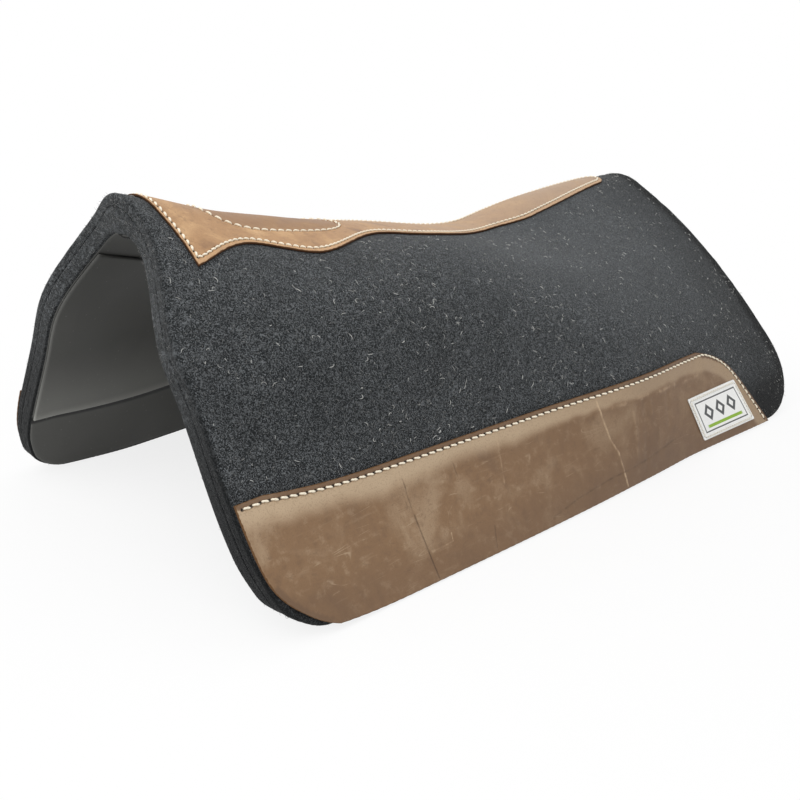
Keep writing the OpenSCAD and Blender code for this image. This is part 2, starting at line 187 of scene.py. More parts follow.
class PadLeather(bpy.types.PropertyGroup):
    """Spine leather, wear leathers and label patch"""
    leather_gap: length("Leather gap", 0.0005, "Seating gap between a leather and the nap")
    edge_round: length("Edge round", 0.0009, "Round along the leathers' cut edges")
    spine_t: length("Spine leather", 0.0022, "Thickness of the spine leather")
    spine_front_y: length("Spine front", 0.026, "Distance of its front corners behind the pad's")
    spine_tip_y: length("Spine tip", 0.702, "Distance of its rear tip behind the pad's front")
    spine_front_bow: length("Front bow", 0.006, "Forward bow of its front edge")
    spine_tip_r: length("Tip radius", 0.019, "Radius of its rear tip")
    spine_corner_w: length("Corner half width", 0.093, "Half width at its sharp front corners")
    spine_neck_w: length("Neck half width", 0.064, "Half width at the neck")
    spine_neck_y: length("Neck place", 0.065, "Distance of the neck behind its front corners")
    spine_lobe_w: length("Lobe half width", 0.084, "Half width of the lobes at the withers")
    spine_lobe_y: length("Lobe place", 0.131, "Distance of the lobes behind its front corners")
    spine_strip_w: length("Strip half width", 0.048, "Half width of the strip over the waist")
    spine_strip_y: length("Strip place", 0.254, "Distance of that strip behind the pad's front")
    spine_swell_w: length("Swell half width", 0.054, "Half width of the swell behind that strip")
    spine_swell_y: length("Swell place", 0.322, "Distance of that swell behind the pad's front")
    spine_seat_w: length("Seat half width", 0.031, "Half width under the saddle's seat")
    spine_seat_y: length("Seat place", 0.446, "Distance of the seat behind the pad's front")
    spine_loin_w: length("Loin half width", 0.037, "Half width over the loin")
    spine_loin_y: length("Loin place", 0.520, "Distance of the loin behind the pad's front")
    wear_t: length("Wear leather", 0.0026, "Thickness of the wear leathers")
    wear_height: length("Wear height", 0.112, "Height of the wear leathers, up the flap")
    wear_front_margin: length("Wear margin", 0.002, "Distance inside the felt's front edge")
    wear_corner_r: length("Wear corner", 0.050, "Radius of the wear leather's front bottom corner")
    wear_rear_y: length("Wear rear", 0.704, "Distance of their rear corner behind the front")
    wear_rear_lean: length("Wear lean", 0.072, "Forward lean of their rear edge")
    wear_rear_round: length("Wear round", 0.056, "Reach of the round at the top of that edge")
    wear_hem_gap: length("Wear hem gap", 0.0015, "Height of their bottom edge off the floor")
    label_w: length("Label width", 0.108, "Width of the label patch")
    label_h: length("Label height", 0.054, "Height of the label patch")
    label_t: length("Label", 0.001, "Thickness of the label patch")
    label_lean: length("Label lean", 0.026, "Rearward lean of its ends")
    label_rear_gap: length("Label gap", 0.015, "Distance of its top from the leather's rear")
    label_drop: length("Label drop", 0.046, "Distance of its top below the wear leather's")


class PadStitching(bpy.types.PropertyGroup):
    """Thread and rows of stitches"""
    thread_d: length("Thread", 0.0019, "Diameter of the thread")
    spine_pitch: length("Spine pitch", 0.0065, "Pitch of the stitching round the spine leather")
    wear_pitch: length("Wear pitch", 0.0085, "Pitch round the oval and on the wear leathers")
    slant: length("Slant", 0.0008, "How far each stitch leans across its row")
    hole_r: length("Needle hole", 0.0017, "Radius of the needle holes")
    inset: length("Inset", 0.005, "How far the rows lie inside the long edges")
    front_inset: length("Front inset", 0.0035, "Distance inside the spine leather's front edge")
    label_pitch: length("Label pitch", 0.0045, "Pitch of the stitching round the label")
    label_inset: length("Label inset", 0.003, "Distance of that row inside the label's edge")
    oval_half_length: length("Oval half length", 0.079, "Half length of the withers oval")
    oval_half_width: length("Oval half width", 0.043, "Half width of the withers oval")
    oval_y: length("Oval place", 0.152, "Distance of its centre behind the pad's front")
    oval_power: number("Oval power", 0.7, "Below 1 this squares the oval's ends")
    zigzag_half_width: length("Zigzag half width", 0.005, "Half width of the seam's zigzag")
    zigzag_pitch: length("Zigzag pitch", 0.006, "Advance of the zigzag with each stitch")
    zigzag_cover: number("Zigzag cover", 0.7, "Share of that advance that one stitch spans")


class PadFibres(bpy.types.PropertyGroup):
    """Loose wool fibres on each flap"""
    lint_count: whole("Lint", 620, "Number of pale curls on a flap's face")
    lint_length: lengths("Lint length", (0.002, 0.007), "Shortest and longest curl of lint")
    lint_r: length("Lint radius", 0.0003, "Radius of the lint")
    nap_count: whole("Nap", 6500, "Number of short fibres on a flap's face")
    nap_length: lengths("Nap length", (0.0015, 0.004), "Shortest and longest fibre of the nap")
    nap_r: length("Nap radius", 0.00013, "Radius of the nap's fibres")
    fuzz_count: whole("Fuzz", 2600, "Number of fibres on a flap's cut edges")
    fuzz_length: lengths("Fuzz length", (0.0012, 0.0034), "Shortest and longest fibre of the fuzz")
    fuzz_r: length("Fuzz radius", 0.00011, "Radius of the fuzz")


class PadColours(bpy.types.PropertyGroup):
    """Colours of the finishes"""
    felt: colour("Felt", "2D3032", "Ground of the charcoal wool felt")
    # The pale fibres' colour also gives the felt its painted light, and the pits' colour its painted
    # shade
    felt_fibre_and_light: colour("Felt fibres", "7E8285", "Pale fibres in the outer felt")
    felt_pit_and_shade: colour("Felt pits", "131516", "Dark pits between the fibres")
    inner_felt: colour("Inner felt", "383B3C", "Ground of the inner felt")
    skin: colour("Lining skin", "4D4D4A", "Smooth skin of the lining and the inserts")
    spine: colour("Spine leather", "AE8760", "Tan of the spine leather")
    spine_light: colour("Spine leather, light", "D0AB82", "Where the spine leather is rubbed pale")
    spine_dark: colour("Spine leather, dark", "84644A", "Where the spine leather is darkest")
    wear: colour("Wear leather", "84674B", "Brown of the wear leathers")
    wear_light: colour("Wear leather, light", "B9A286", "Where the oils have pulled away")
    wear_dark: colour("Wear leather, dark", "6C5440", "Where the oils have gathered")
    cut_edge: colour("Cut edge", "70502F", "Raw cut edges of the leathers")
    spine_cut: colour("Spine leather, cut edge", "5E3D22", "Cut edge of the spine leather")
    thread: colour("Thread", "FBF2DE", "Waxed thread")
    label: colour("Label", "FAFAF8", "Ground of the label patch")
    label_ink: colour("Label ink", "24282B", "Dark print of the label")
    label_green: colour("Label green", "8DB528", "Green print of the label")
    floor: colour("Floor", "F5F5F5", "Floor and backdrop")


class PadStage(bpy.types.PropertyGroup):
    """Camera and lights"""
    aim: bpy.props.FloatVectorProperty(
        name="Aim", default=(0.1162, -0.1612, 0.1127), subtype="TRANSLATION",
        description="Point that the camera looks at", unit="LENGTH")
    distance: length("Distance", 0.907, "Distance from that point to the camera")
    azimuth: angle("Azimuth", 45.07, "Turn of the camera from -Y towards +X")
    elevation: angle("Elevation", 19.98, "Height of the camera above the horizon")
    lens: number("Lens", 42.1, "Focal length in millimetres")
    ambient: number("Ambient", 0.6, "Strength of the even light all round")
    key_power: number("Key power", 14.0, "Power of the large lamp above the near front")
    fill_power: number("Fill power", 4.0, "Power of the low lamp ahead of the arch")
    top_power: number("Top power", 5.0, "Power of the lamp overhead")


class SaddlePad(bpy.types.PropertyGroup):
    """All sizes, colours and lights of the saddle pad"""
    outline: bpy.props.PointerProperty(type=PadOutline)
    contour: bpy.props.PointerProperty(type=PadContour)
    layers: bpy.props.PointerProperty(type=PadLayers)
    leather: bpy.props.PointerProperty(type=PadLeather)
    stitching: bpy.props.PointerProperty(type=PadStitching)
    fibres: bpy.props.PointerProperty(type=PadFibres)
    colours: bpy.props.PointerProperty(type=PadColours)
    stage: bpy.props.PointerProperty(type=PadStage)


# ---- The surface ----

def unit(vectors):
    """Vectors of length 1."""
    return vectors / np.maximum(np.linalg.norm(vectors, axis=-1, keepdims=True), 1e-12)


def smooth_step(low, high, value):
    """0 at low and 1 at high, with a smooth rise between. Low may be the larger."""
    t = np.clip((value - low) / (high - low), 0, 1)
    return t * t * (3 - 2 * t)


class Surface:
    """The pad's curved surface, from its outline and its sections."""

    def __init__(self, pad):
        self.outline = pad.outline
        self.ledge = pad.layers.insert_ledge
        contour = pad.contour
        self.length = pad.outline.pad_length
        self.flap = pad.outline.flap_length
        self.withers_y, self.loin_y = contour.withers_y, contour.loin_y
        self.stations = np.array([0, contour.withers_y, contour.waist_y, contour.seat_y,
                                  contour.loin_y, self.length])
        self.knots = np.array([0, *contour.slope_s, self.flap])
        self.slopes = np.radians([contour.front[:], contour.withers[:], contour.waist[:],
                                  contour.seat[:], contour.loin[:], contour.rear[:]])
        self.lead_s = np.array([0, *self.outline.front_lead_s, self.flap])
        self.lead = np.array([0, *self.outline.front_lead])
        # Places count from the crest's front edge, and the frame from the middle of the pad.
        foremost = self.front_edge(np.linspace(0, self.flap, 801)).min()
        self.y_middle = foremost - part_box("outer_felt_left")[0].y

    def corner(self, s, radius):
        """How far a bottom corner of that radius draws the edge in."""
        past = np.clip(s - self.flap + radius, 0, radius)
        return radius - np.sqrt(radius ** 2 - past ** 2)

    def front_edge(self, s):
        """Front edge of the felt."""
        ahead = smooth_curve(self.lead_s, self.lead, s)
        return self.corner(s, self.outline.front_corner_r) - ahead

    def rear_edge(self, s):
        """Rear edge of the felt."""
        sweep = self.outline.rear_sweep * (s / self.flap) ** 1.5
        return self.length - self.corner(s, self.outline.rear_corner_r) + sweep

    def section(self, y):
        """Slopes of the sections at y, with level at the crest."""
        return np.column_stack([np.zeros(len(y)), smooth_curve(self.stations, self.slopes, y)])

    def slope(self, section, s):
        """Slope of a section at a distance down."""
        total = section[:, 0].copy()
        last = len(self.knots) - 2
        for k in range(last + 1):
            share = (s - self.knots[k]) / (self.knots[k + 1] - self.knots[k])
            share = np.clip(share, 0, None if k == last else 1)
            total += (section[:, k + 1] - section[:, k]) * share
        return total

    def run(self, section, s):
        """How far across and down a section goes in a distance s: a chain of arcs."""
        total = np.zeros((len(s), 2))
        last = len(self.knots) - 2
        for k in range(last + 1):
            start, end = self.knots[k], self.knots[k + 1]
            d = np.maximum(s - start, 0) if k == last else np.clip(s, start, end) - start
            turn = (section[:, k + 1] - section[:, k]) * d / (end - start)
            middle = section[:, k] + turn / 2
            chord = d * np.sinc(turn / 2 / math.pi)
            total += chord[:, None] * np.column_stack([np.cos(middle), np.sin(middle)])
        return total

    def rise(self, y):
        """Rise of the hem towards both ends."""
        ahead = np.clip(1 - np.maximum(y, 0) / self.withers_y, 0, None)
        behind = np.minimum(y, self.length) - self.loin_y
        behind = np.clip(behind / (self.length - self.loin_y), 0, None)
        return self.outline.front_hem_rise * ahead ** 2 + self.outline.rear_hem_rise * behind ** 2

    def points(self, y, s, depth):
        """Points at places (y, s) and depths. The hem's cut turns level towards the floor."""
        y, s, depth = (np.asarray(v, float).ravel() for v in np.broadcast_arrays(y, s, depth))
        down = np.abs(s)
        section = self.section(y)
        turn = np.clip(1 - (self.flap - down) / self.ledge, 0, None)
        along = down - depth / np.tan(section[:, -1]) * turn
        slope = self.slope(section, along)
        across = self.run(section, along)
        drop = self.run(section, np.full(len(y), self.flap))[:, 1]
        z = self.rise(y) + drop - across[:, 1] - depth * np.cos(slope)
        z = np.where(down >= self.flap - 1e-7, self.rise(y), z)
        x = np.where(s < 0, -1, 1) * (across[:, 0] - depth * np.sin(slope))
        return np.column_stack([x, y - self.y_middle, z])


def smooth_curve(places, values, at):
    """Smooth curve through values at places, held level beyond its ends."""
    values = np.asarray(values, float)
    flat = values.ndim == 1
    values = values[:, None] if flat else values
    places = np.asarray(places, float)
    last = len(places) - 1
    before = np.maximum(np.arange(last + 1) - 1, 0)
    after = np.minimum(np.arange(last + 1) + 1, last)
    tangent = (values[after] - values[before]) / (places[after] - places[before])[:, None]
    at = np.clip(at, places[0], places[-1])
    i = np.clip(np.searchsorted(places, at, "right") - 1, 0, last - 1)
    h = (places[i + 1] - places[i])[:, None]
    u = (at - places[i])[:, None] / h
    out = ((1 + 2 * u) * (1 - u) ** 2 * values[i] + u * (1 - u) ** 2 * h * tangent[i]
           + (3 - 2 * u) * u ** 2 * values[i + 1] + (u - 1) * u ** 2 * h * tangent[i + 1])
    return out[:, 0] if flat else out


def noise(y, s, size, seed):
    """Smooth noise from -1 to 1 over places, in lumps of about that size."""
    u, v = np.asarray(y) / size, np.asarray(s) / size
    i, j = np.floor(u), np.floor(v)
    fu, fv = u - i, v - j
    fu, fv = fu * fu * (3 - 2 * fu), fv * fv * (3 - 2 * fv)

    def lattice(a, b):
        """A chance value at each corner of a grid."""
        return np.modf(np.abs(np.sin(a * 127.1 + b * 311.7 + seed * 74.7)) * 43758.5453)[0]

    low = lattice(i, j) * (1 - fu) + lattice(i + 1, j) * fu
    high = lattice(i, j + 1) * (1 - fu) + lattice(i + 1, j + 1) * fu
    return 2 * (low * (1 - fv) + high * fv) - 1


# ---- Outlines ----

def even_steps(line, steps_for):
    """Even steps along a line of places, as many as steps_for gives for its length."""
    line = np.asarray(line, float)
    d = np.concatenate([[0], np.cumsum(np.linalg.norm(np.diff(line, axis=0), axis=1))])
    at = np.linspace(0, d[-1], steps_for(d[-1]) + 1)
    return np.column_stack([np.interp(at, d, line[:, 0]), np.interp(at, d, line[:, 1])])


def resample(line, spacing):
    """Even steps of about that spacing along a line of places, with both ends kept."""
    return even_steps(line, lambda total: max(1, round(total / spacing)))


def edge_line(edge, start, end, steps=600):
    """Line of places along an edge given as y for each s, close together at both ends."""
    s = start + (end - start) * (1 - np.cos(np.linspace(0, math.pi, steps))) / 2
    return np.column_stack([edge(s), s])


def closed_loop(sides, spacing):
    """One loop from sides that follow each other, anticlockwise over (y, s)."""
    loop = np.vstack([resample(side, spacing)[:-1] for side in sides])
    after = np.roll(loop, -1, axis=0)
    area = np.sum(loop[:, 0] * after[:, 1] - after[:, 0] * loop[:, 1])
    return loop if area > 0 else loop[::-1]


def four_sides(front_edge, rear_edge, start, end):
    """Front, bottom, rear and top side of a sheet between two distances down."""
    front = edge_line(front_edge, start, end)
    rear = edge_line(rear_edge, end, start)
    return [front, np.array([front[-1], rear[0]]), rear, np.array([rear[-1], front[0]])]


def flap_sides(surface, start, end, inset=0.0):
    """The four sides of a sheet that follows the felt's front and rear edges."""
    return four_sides(lambda s: surface.front_edge(s) + inset,
                      lambda s: surface.rear_edge(s) - inset, start, end)


def inward_normals(loop):
    """Unit vectors into an anticlockwise loop."""
    along = np.roll(loop, -1, axis=0) - np.roll(loop, 1, axis=0)
    return unit(np.column_stack([-along[:, 1], along[:, 0]]))


class Line:
    """Places along one or more lines, to measure distances to."""

    def __init__(self, lines, spacing=0.4 * MM):
        self.samples = np.vstack([resample(line, spacing) if spacing else line for line in lines])
        self.tree = kdtree.KDTree(len(self.samples))
        for i, (y, s) in enumerate(self.samples):
            self.tree.insert((y, s, 0), i)
        self.tree.balance()

    def nearest(self, places):
        """Number of the sample that is nearest to each place, and the distance to it."""
        found = [self.tree.find((y, s, 0)) for y, s in places]
        return np.array([f[1] for f in found], int), np.array([f[2] for f in found])

    def distance(self, places):
        """Distance from each place to the lines."""
        return self.nearest(places)[1]


# ---- Sheets ----

# Where rings of places lie along a rounded edge, from its wall to its face
RING_TURNS = np.radians([22, 44, 66, 90])


def rounding(radius, edge):
    """Extra depth of a rounded edge at a distance inside it."""
    short = radius - np.minimum(edge, radius)
    return radius - np.sqrt(np.maximum(radius ** 2 - short ** 2, 0))


def face_places(loop, radius, spacing, extra):
    """Places over a face: the loop, rings along its rounded edge, extra ones, and a lattice."""
    rim = Line([loop], spacing=None)
    inward = inward_normals(loop)
    placed = [loop]
    for turn in RING_TURNS:
        d = max(radius, 0.2 * MM) * (1 - math.cos(turn))
        ring = loop + inward * d
        placed.append(ring[rim.distance(ring) > 0.96 * d])
    low, high = loop.min(axis=0), loop.max(axis=0)
    rows = []
    for i, s in enumerate(np.arange(low[1], high[1], spacing * math.sqrt(0.75))):
        y = np.arange(low[0] + (i % 2) * spacing / 2, high[0], spacing)
        rows.append(np.column_stack([y, np.full(len(y), s)]))
    lattice = np.vstack(rows)
    if len(extra):
        placed.append(extra[inside(loop, inward, rim, extra, radius + 0.3 * MM)])
        lattice = lattice[Line([extra], spacing=None).distance(lattice) > 0.4 * spacing]
    placed.append(lattice[inside(loop, inward, rim, lattice, radius + 0.5 * spacing)])
    return np.vstack(placed)


def inside(loop, inward, rim, places, margin):
    """Which places lie inside a loop by more than a margin."""
    at, _ = rim.nearest(places)
    off = places - loop[at]
    return (np.linalg.norm(off, axis=1) > margin) & (np.sum(off * inward[at], axis=1) > 0)


def triangulate(places, loop_count):
    """Anticlockwise triangles between places, inside the loop that the first ones make."""
    points = [Vector((y / MM, s / MM)) for y, s in places]
    found = geometry.delaunay_2d_cdt(points, [], [list(range(loop_count))], 1, 1e-4)
    source = [o[0] if o else -1 for o in found[3]]
    faces = np.array([[source[i] for i in face] for face in found[2]])
    if faces.min() < 0 or set(range(loop_count)) - set(faces.ravel()):
        raise RuntimeError("the outline crosses itself or doubles back")
    a, b, c = (places[faces[:, k]] for k in range(3))
    area = (b[:, 0] - a[:, 0]) * (c[:, 1] - a[:, 1]) - (c[:, 0] - a[:, 0]) * (b[:, 1] - a[:, 1])
    faces[area < 0] = faces[area < 0][:, ::-1]
    used, compact = np.unique(faces, return_inverse=True)
    return places[used], compact.reshape(-1, 3)


def build_sheet(name, surface, loop, outer, inner, side=NEAR, spacing=4 * MM, rounds=(0, 0),
                cut=None, relief=None, marks=None, extra=(), back_spacing=12 * MM, walls=2,
                bulge=None, half_gap=0.0):
    """One closed sheet between two depths, which may be functions of (y, s).

    rounds are the radii along its outer and its inner face, and cut holds the lines of the edge
    that has them. relief(y, s) adds depth to the outer face, marks are masks as functions of
    (y, s), extra holds places that the outer face must have, bulge(y, s, share) moves the wall
    out, and half_gap moves the sheet away from the crest.
    """
    coarse = 1.0
    count = len(loop)
    edge_of = Line(cut if cut is not None else [np.vstack([loop, loop[:1]])])
    faces_at = []
    for radius, step, more in ((rounds[0], spacing * coarse, extra), (rounds[1], back_spacing, ())):
        places, triangles = triangulate(face_places(loop, radius, step, np.asarray(more)), count)
        faces_at.append((places, triangles, edge_of.distance(places)))
    (front, front_faces, front_edge), (back, back_faces, back_edge) = faces_at

    def depth_of(level, places):
        """Depths at places, from a function or from one number."""
        return level(places[:, 0], places[:, 1]) if callable(level) else np.full(len(places), level)

    front_depth = depth_of(outer, front) + rounding(rounds[0], front_edge)
    if relief:
        front_depth += relief(front[:, 0], front[:, 1] * side) * smooth_step(0, 2 * MM, front_edge)
    back_depth = depth_of(inner, back) - rounding(rounds[1], back_edge)
    outward = -inward_normals(loop)
    places, depths = [front, back], [front_depth, back_depth]
    edges, shares = [front_edge, back_edge], [np.zeros(len(front)), np.ones(len(back))]
    for k in range(1, walls):
        share = k / walls
        moved = bulge(loop[:, 0], loop[:, 1] * side, share) if bulge else np.zeros(count)
        places.append(loop + outward * moved[:, None])
        depths.append(front_depth[:count] * (1 - share) + back_depth[:count] * share)
        edges.append(np.zeros(count))
        shares.append(np.full(count, share))
    places, depths = np.vstack(places), np.concatenate(depths)
    y, s = places[:, 0], places[:, 1] * side
    points = surface.points(y, s, depths)
    points[:, 0] += side * half_gap

    starts = [0] + [len(front) + len(back) + k * count for k in range(walls - 1)] + [len(front)]
    i = np.arange(count)
    j = (i + 1) % count
    wall_faces = np.vstack([
        np.column_stack([a + i, a + j, b + j, b + i]) for a, b in zip(starts, starts[1:])])
    faces = [front_faces[:, ::-1], back_faces + len(front), wall_faces]
    if side == OFF:
        faces = [f[:, ::-1] for f in faces]
    values = {"edge": np.concatenate(edges), "wall": np.concatenate(shares)}
    for key, mark in (marks or {}).items():
        value = np.zeros(len(y))
        value[:len(front)] = mark(y[:len(front)], s[:len(front)])
        values[key] = value
    flat = np.column_stack([y, s, depths])
    return make_mesh(name, points, [f for group in faces for f in group.tolist()], flat, values)


def make_mesh(name, points, faces, flat, values):
    """A smooth mesh object whose attributes hold its flat places and its masks."""
    mesh = bpy.data.meshes.new(name)
    mesh.from_pydata(points.tolist(), [], faces)
    mesh.polygons.foreach_set("use_smooth", np.ones(len(mesh.polygons), bool))
    attribute = mesh.attributes.new("flat", "FLOAT_VECTOR", "POINT")
    attribute.data.foreach_set("vector", np.ascontiguousarray(flat, np.float32).ravel())
    for key, value in values.items():
        attribute = mesh.attributes.new(key, "FLOAT", "POINT")
        attribute.data.foreach_set("value", np.ascontiguousarray(value, np.float32))
    mesh.validate()
    piece = bpy.data.objects.new(name, mesh)
    bpy.context.scene.collection.objects.link(piece)
    return piece


def build_tubes(name, centres, ups, radii, sides, values, ply=0.0, twist=0.0):
    """Closed tubes along centres[tube, ring], with one radius for each ring.

    values are attributes for each ring. ply is the share by which two plies stand out, and twist
    is their turn from ring to ring.
    """
    tubes, rings = centres.shape[:2]
    along = unit(np.gradient(centres, axis=1))
    across = unit(np.cross(along, ups))
    up = np.cross(across, along)
    turn = np.linspace(0, 2 * math.pi, sides, endpoint=False)
    lobes = 1 + ply * np.cos(2 * (turn[None, :] - twist * np.arange(rings)[:, None]))
    r = radii[:, :, None, None] * lobes[None, :, :, None]
    points = (centres[:, :, None] + r * (np.cos(turn)[:, None] * across[:, :, None]
                                         + np.sin(turn)[:, None] * up[:, :, None]))
    start = (np.arange(tubes) * rings * sides)[:, None, None]
    i = np.arange(rings - 1)[None, :, None] * sides
    k = np.arange(sides)[None, None, :]
    after = (k + 1) % sides
    quads = np.stack(np.broadcast_arrays(
        start + i + k, start + i + after, start + i + sides + after, start + i + sides + k), -1)
    first = (start[:, :, 0] + np.arange(sides))[:, ::-1]
    last = start[:, :, 0] + (rings - 1) * sides + np.arange(sides)
    faces = quads.reshape(-1, 4).tolist() + first.tolist() + last.tolist()
    spread = {key: np.broadcast_to(v[..., None], (tubes, rings, sides)).ravel()
              for key, v in values.items()}
    return make_mesh(name, points.reshape(-1, 3), faces, points.reshape(-1, 3), spread)


def build_flaps(kind, look, finish, surface, sides, outer, inner, slot=None, fill=None,
                loop_step=4 * MM, **how):
    """The same sheet on each flap, mirrored, for the CAD node of its kind on that side. slot is not
    used.
    """
    loop = closed_loop(sides, loop_step)
    for side, name in SIDE_NAMES.items():
        piece = build_sheet(f"{kind}_{name}_{look}", surface, loop, outer, inner, side=side, **how)
        finish_piece(piece, finish, f"{kind}_{name}")


def finish_piece(piece, material, node=None):
    """Gives a piece its material, its body and the CAD node that it stands for."""
    piece.data.materials.append(material)
    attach(piece, "root")
    if node:
        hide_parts(node)
        places = np.array([v.co for v in piece.data.vertices])
        own_corners = (places.min(axis=0), places.max(axis=0))
        off = max((Vector(own) - corner).length for own, corner in zip(own_corners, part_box(node)))
        if off > PLACE_TOLERANCE:
            raise RuntimeError(f"{piece.name} has left the place of {node}")


# ---- Rows of stitches ----

# An edge that runs at a slant needs this much more inset, measured straight across
SLOPING_INSET = 1.15
# Share of the pitch that a stitch spans between its two holes
STITCH_SPAN = 0.66


def spine_half_width(pad, y):
    """Half width of the spine leather."""
    leather = pad.leather
    straight = leather.spine_tip_y - leather.spine_tip_r
    front = leather.spine_front_y
    places = [front, front + leather.spine_neck_y, front + leather.spine_lobe_y,
              leather.spine_strip_y, leather.spine_swell_y, leather.spine_seat_y,
              leather.spine_loin_y, straight]
    widths = [leather.spine_corner_w, leather.spine_neck_w, leather.spine_lobe_w,
              leather.spine_strip_w, leather.spine_swell_w, leather.spine_seat_w,
              leather.spine_loin_w, leather.spine_tip_r]
    past = np.clip(y - straight, 0, leather.spine_tip_r)
    tip = np.sqrt(np.maximum(leather.spine_tip_r ** 2 - past ** 2, 0))
    return np.where(past > 0, tip, smooth_curve(places, widths, y))


def bowed(pad, places):
    """Places on the spine leather, moved forward by the bow of its front edge."""
    leather = pad.leather
    y, s = np.asarray(places, float).T
    back = np.maximum(0, 1 - (y - leather.spine_front_y) / leather.spine_neck_y)
    across = np.maximum(0, 1 - (s / leather.spine_corner_w) ** 2) ** 3
    return np.column_stack([y - leather.spine_front_bow * back * across, s])


def wear_top(pad):
    """Distance from the crest to the wear leathers' top edge."""
    return pad.outline.flap_length - pad.leather.wear_height


def wear_rear(pad, s):
    """Rear edge of a wear leather."""
    leather = pad.leather
    up = (pad.outline.flap_length - s) / leather.wear_height
    return leather.wear_rear_y - leather.wear_rear_lean * up - leather.wear_rear_round * up ** 8


def label_top(pad):
    """Distance from the crest to the label's top edge."""
    return wear_top(pad) + pad.leather.label_drop


def label_front(pad):
    """Place of the label's front top corner."""
    leather = pad.leather
    return wear_rear(pad, label_top(pad)) - leather.label_rear_gap - leather.label_w


def on_label(pad, u, v):
    """Place on the label, u along it and v down it, both from 0 to 1."""
    leather = pad.leather
    return (label_front(pad) + leather.label_w * u + leather.label_lean * v,
            label_top(pad) + leather.label_h * v)


def needle_holes(path, pitch):
    """Places of the needle holes, at even steps of at least the pitch along a row."""
    return even_steps(path, lambda total: int(total / pitch))


def spine_leather_row(pad):
    """Needle holes round the spine leather, just inside its edge."""
    leather, inset = pad.leather, pad.stitching.inset
    first = leather.spine_front_y + pad.stitching.front_inset
    last = leather.spine_tip_y - inset
    tip = last - (leather.spine_tip_r - inset)
    side_inset = SLOPING_INSET * inset
    y = np.linspace(first, tip, 61)
    turn = np.radians(np.arange(10, 91, 10))
    tip_w = spine_half_width(pad, np.array([tip]))[0] - side_inset
    w = spine_half_width(pad, y) - side_inset
    near = bowed(pad, np.vstack([
        np.column_stack([np.full(10, first), w[0] * np.arange(10) / 10]),
        np.column_stack([y, w]),
        np.column_stack([tip + (last - tip) * np.sin(turn), tip_w * np.cos(turn)])]))
    return needle_holes(np.vstack([near, near[::-1] * [1, -1]]), pad.stitching.spine_pitch)


def oval_row(pad):
    """Needle holes round the oval over the withers."""
    stitching = pad.stitching
    turn = np.radians(np.arange(0, 361, 5))

    def squared(wave):
        return np.sign(wave) * np.abs(wave) ** stitching.oval_power

    path = np.column_stack([
        stitching.oval_y - stitching.oval_half_length * squared(np.cos(turn)),
        stitching.oval_half_width * squared(np.sin(turn))])
    return needle_holes(path, stitching.wear_pitch)


def wear_leather_row(pad, surface):
    """Needle holes along the top and the rear edge of a wear leather."""
    inset = pad.stitching.inset
    top = wear_top(pad) + inset
    bottom = pad.outline.flap_length - pad.leather.wear_hem_gap - inset
    front = surface.front_edge(np.array([top]))[0] + pad.leather.wear_front_margin + inset
    s = top + (bottom - top) * np.linspace(0, 1, 21) ** 1.6
    rear = np.column_stack([wear_rear(pad, s) - SLOPING_INSET * inset, s])
    return needle_holes(np.vstack([[front, top], rear]), pad.stitching.wear_pitch)


def label_rows(pad):
    """Needle holes along the four sides of the label."""
    stitching, leather = pad.stitching, pad.leather
    iu, iv = stitching.label_inset / leather.label_w, stitching.label_inset / leather.label_h
    corners = [np.array(on_label(pad, u, v))
               for u, v in ((iu, iv), (1 - iu, iv), (1 - iu, 1 - iv), (iu, 1 - iv))]
    rows = []
    for a, b in zip(corners, corners[1:] + corners[:1]):
        short = stitching.thread_d * unit(b - a)
        rows.append(needle_holes([a + short, b - short], stitching.label_pitch))
    return rows


class Seams:
    """Rows of needle holes in a sheet, and how they press into it."""

    def __init__(self, rows, hole_r):
        self.rows, self.hole_r = rows, hole_r
        self.lines = Line(rows)
        self.holes = Line(rows, spacing=None)

    def places(self):
        """Places that give a sheet enough detail along its rows and round its holes."""
        made = []
        for holes in self.rows:
            step = np.diff(holes, axis=0)
            across = unit(np.column_stack([-step[:, 1], step[:, 0]]))
            for share in (0.25, 0.5, 0.75):
                for off in (-2.2, -1.1, 0, 1.1, 2.2):
                    made.append(holes[:-1] + step * share + across * off * MM)
            made.append(holes)
            for r in (0.55 * self.hole_r, 1.1 * self.hole_r, 1.9 * self.hole_r):
                for turn in np.radians(np.arange(0, 360, 60)):
                    made.append(holes + r * np.array([math.cos(turn), math.sin(turn)]))
        return np.unique(np.round(np.vstack(made), 6), axis=0)

    def hole(self, y, s):
        """Mask of the needle holes."""
        d = self.holes.distance(np.column_stack([y, s]))
        return 1 - smooth_step(0.35 * self.hole_r, 1.15 * self.hole_r, d)

    def press(self, y, s):
        """Depth of the gutter and the holes that the stitches pull into the sheet."""
        d = self.lines.distance(np.column_stack([y, s]))
        return 0.35 * MM * np.exp(-(d / (1.4 * MM)) ** 2) + 1.3 * MM * self.hole(y, s)


# ---- Material nodes ----

def feed(tree, socket, value):
    """Links a socket to an output, or sets its value."""
    if isinstance(value, bpy.types.NodeSocket):
        tree.links.new(value, socket)
    else:
        socket.default_value = value


def add(tree, kind, inputs=(), **settings):
    """Adds a node with its settings and inputs."""
    made = tree.nodes.new("ShaderNode" + kind)
    for key, value in settings.items():
        setattr(made, key, value)
    for key, value in dict(inputs).items():
        feed(tree, made.inputs[key], value)
    return made


def maths(tree, operation, a, b=0.0):
    """One step of arithmetic."""
    return add(tree, "Math", {0: a, 1: b}, operation=operation).outputs[0]


def times(tree, a, b):
    """The product of two values."""
    return maths(tree, "MULTIPLY", a, b)


def apart(tree, a, b):
    """How far two values lie apart."""
    return maths(tree, "ABSOLUTE", maths(tree, "SUBTRACT", a, b))


def vectors(tree, operation, a, b):
    """One step of arithmetic on two vectors."""
    return add(tree, "VectorMath", {0: a, 1: b}, operation=operation).outputs[0]


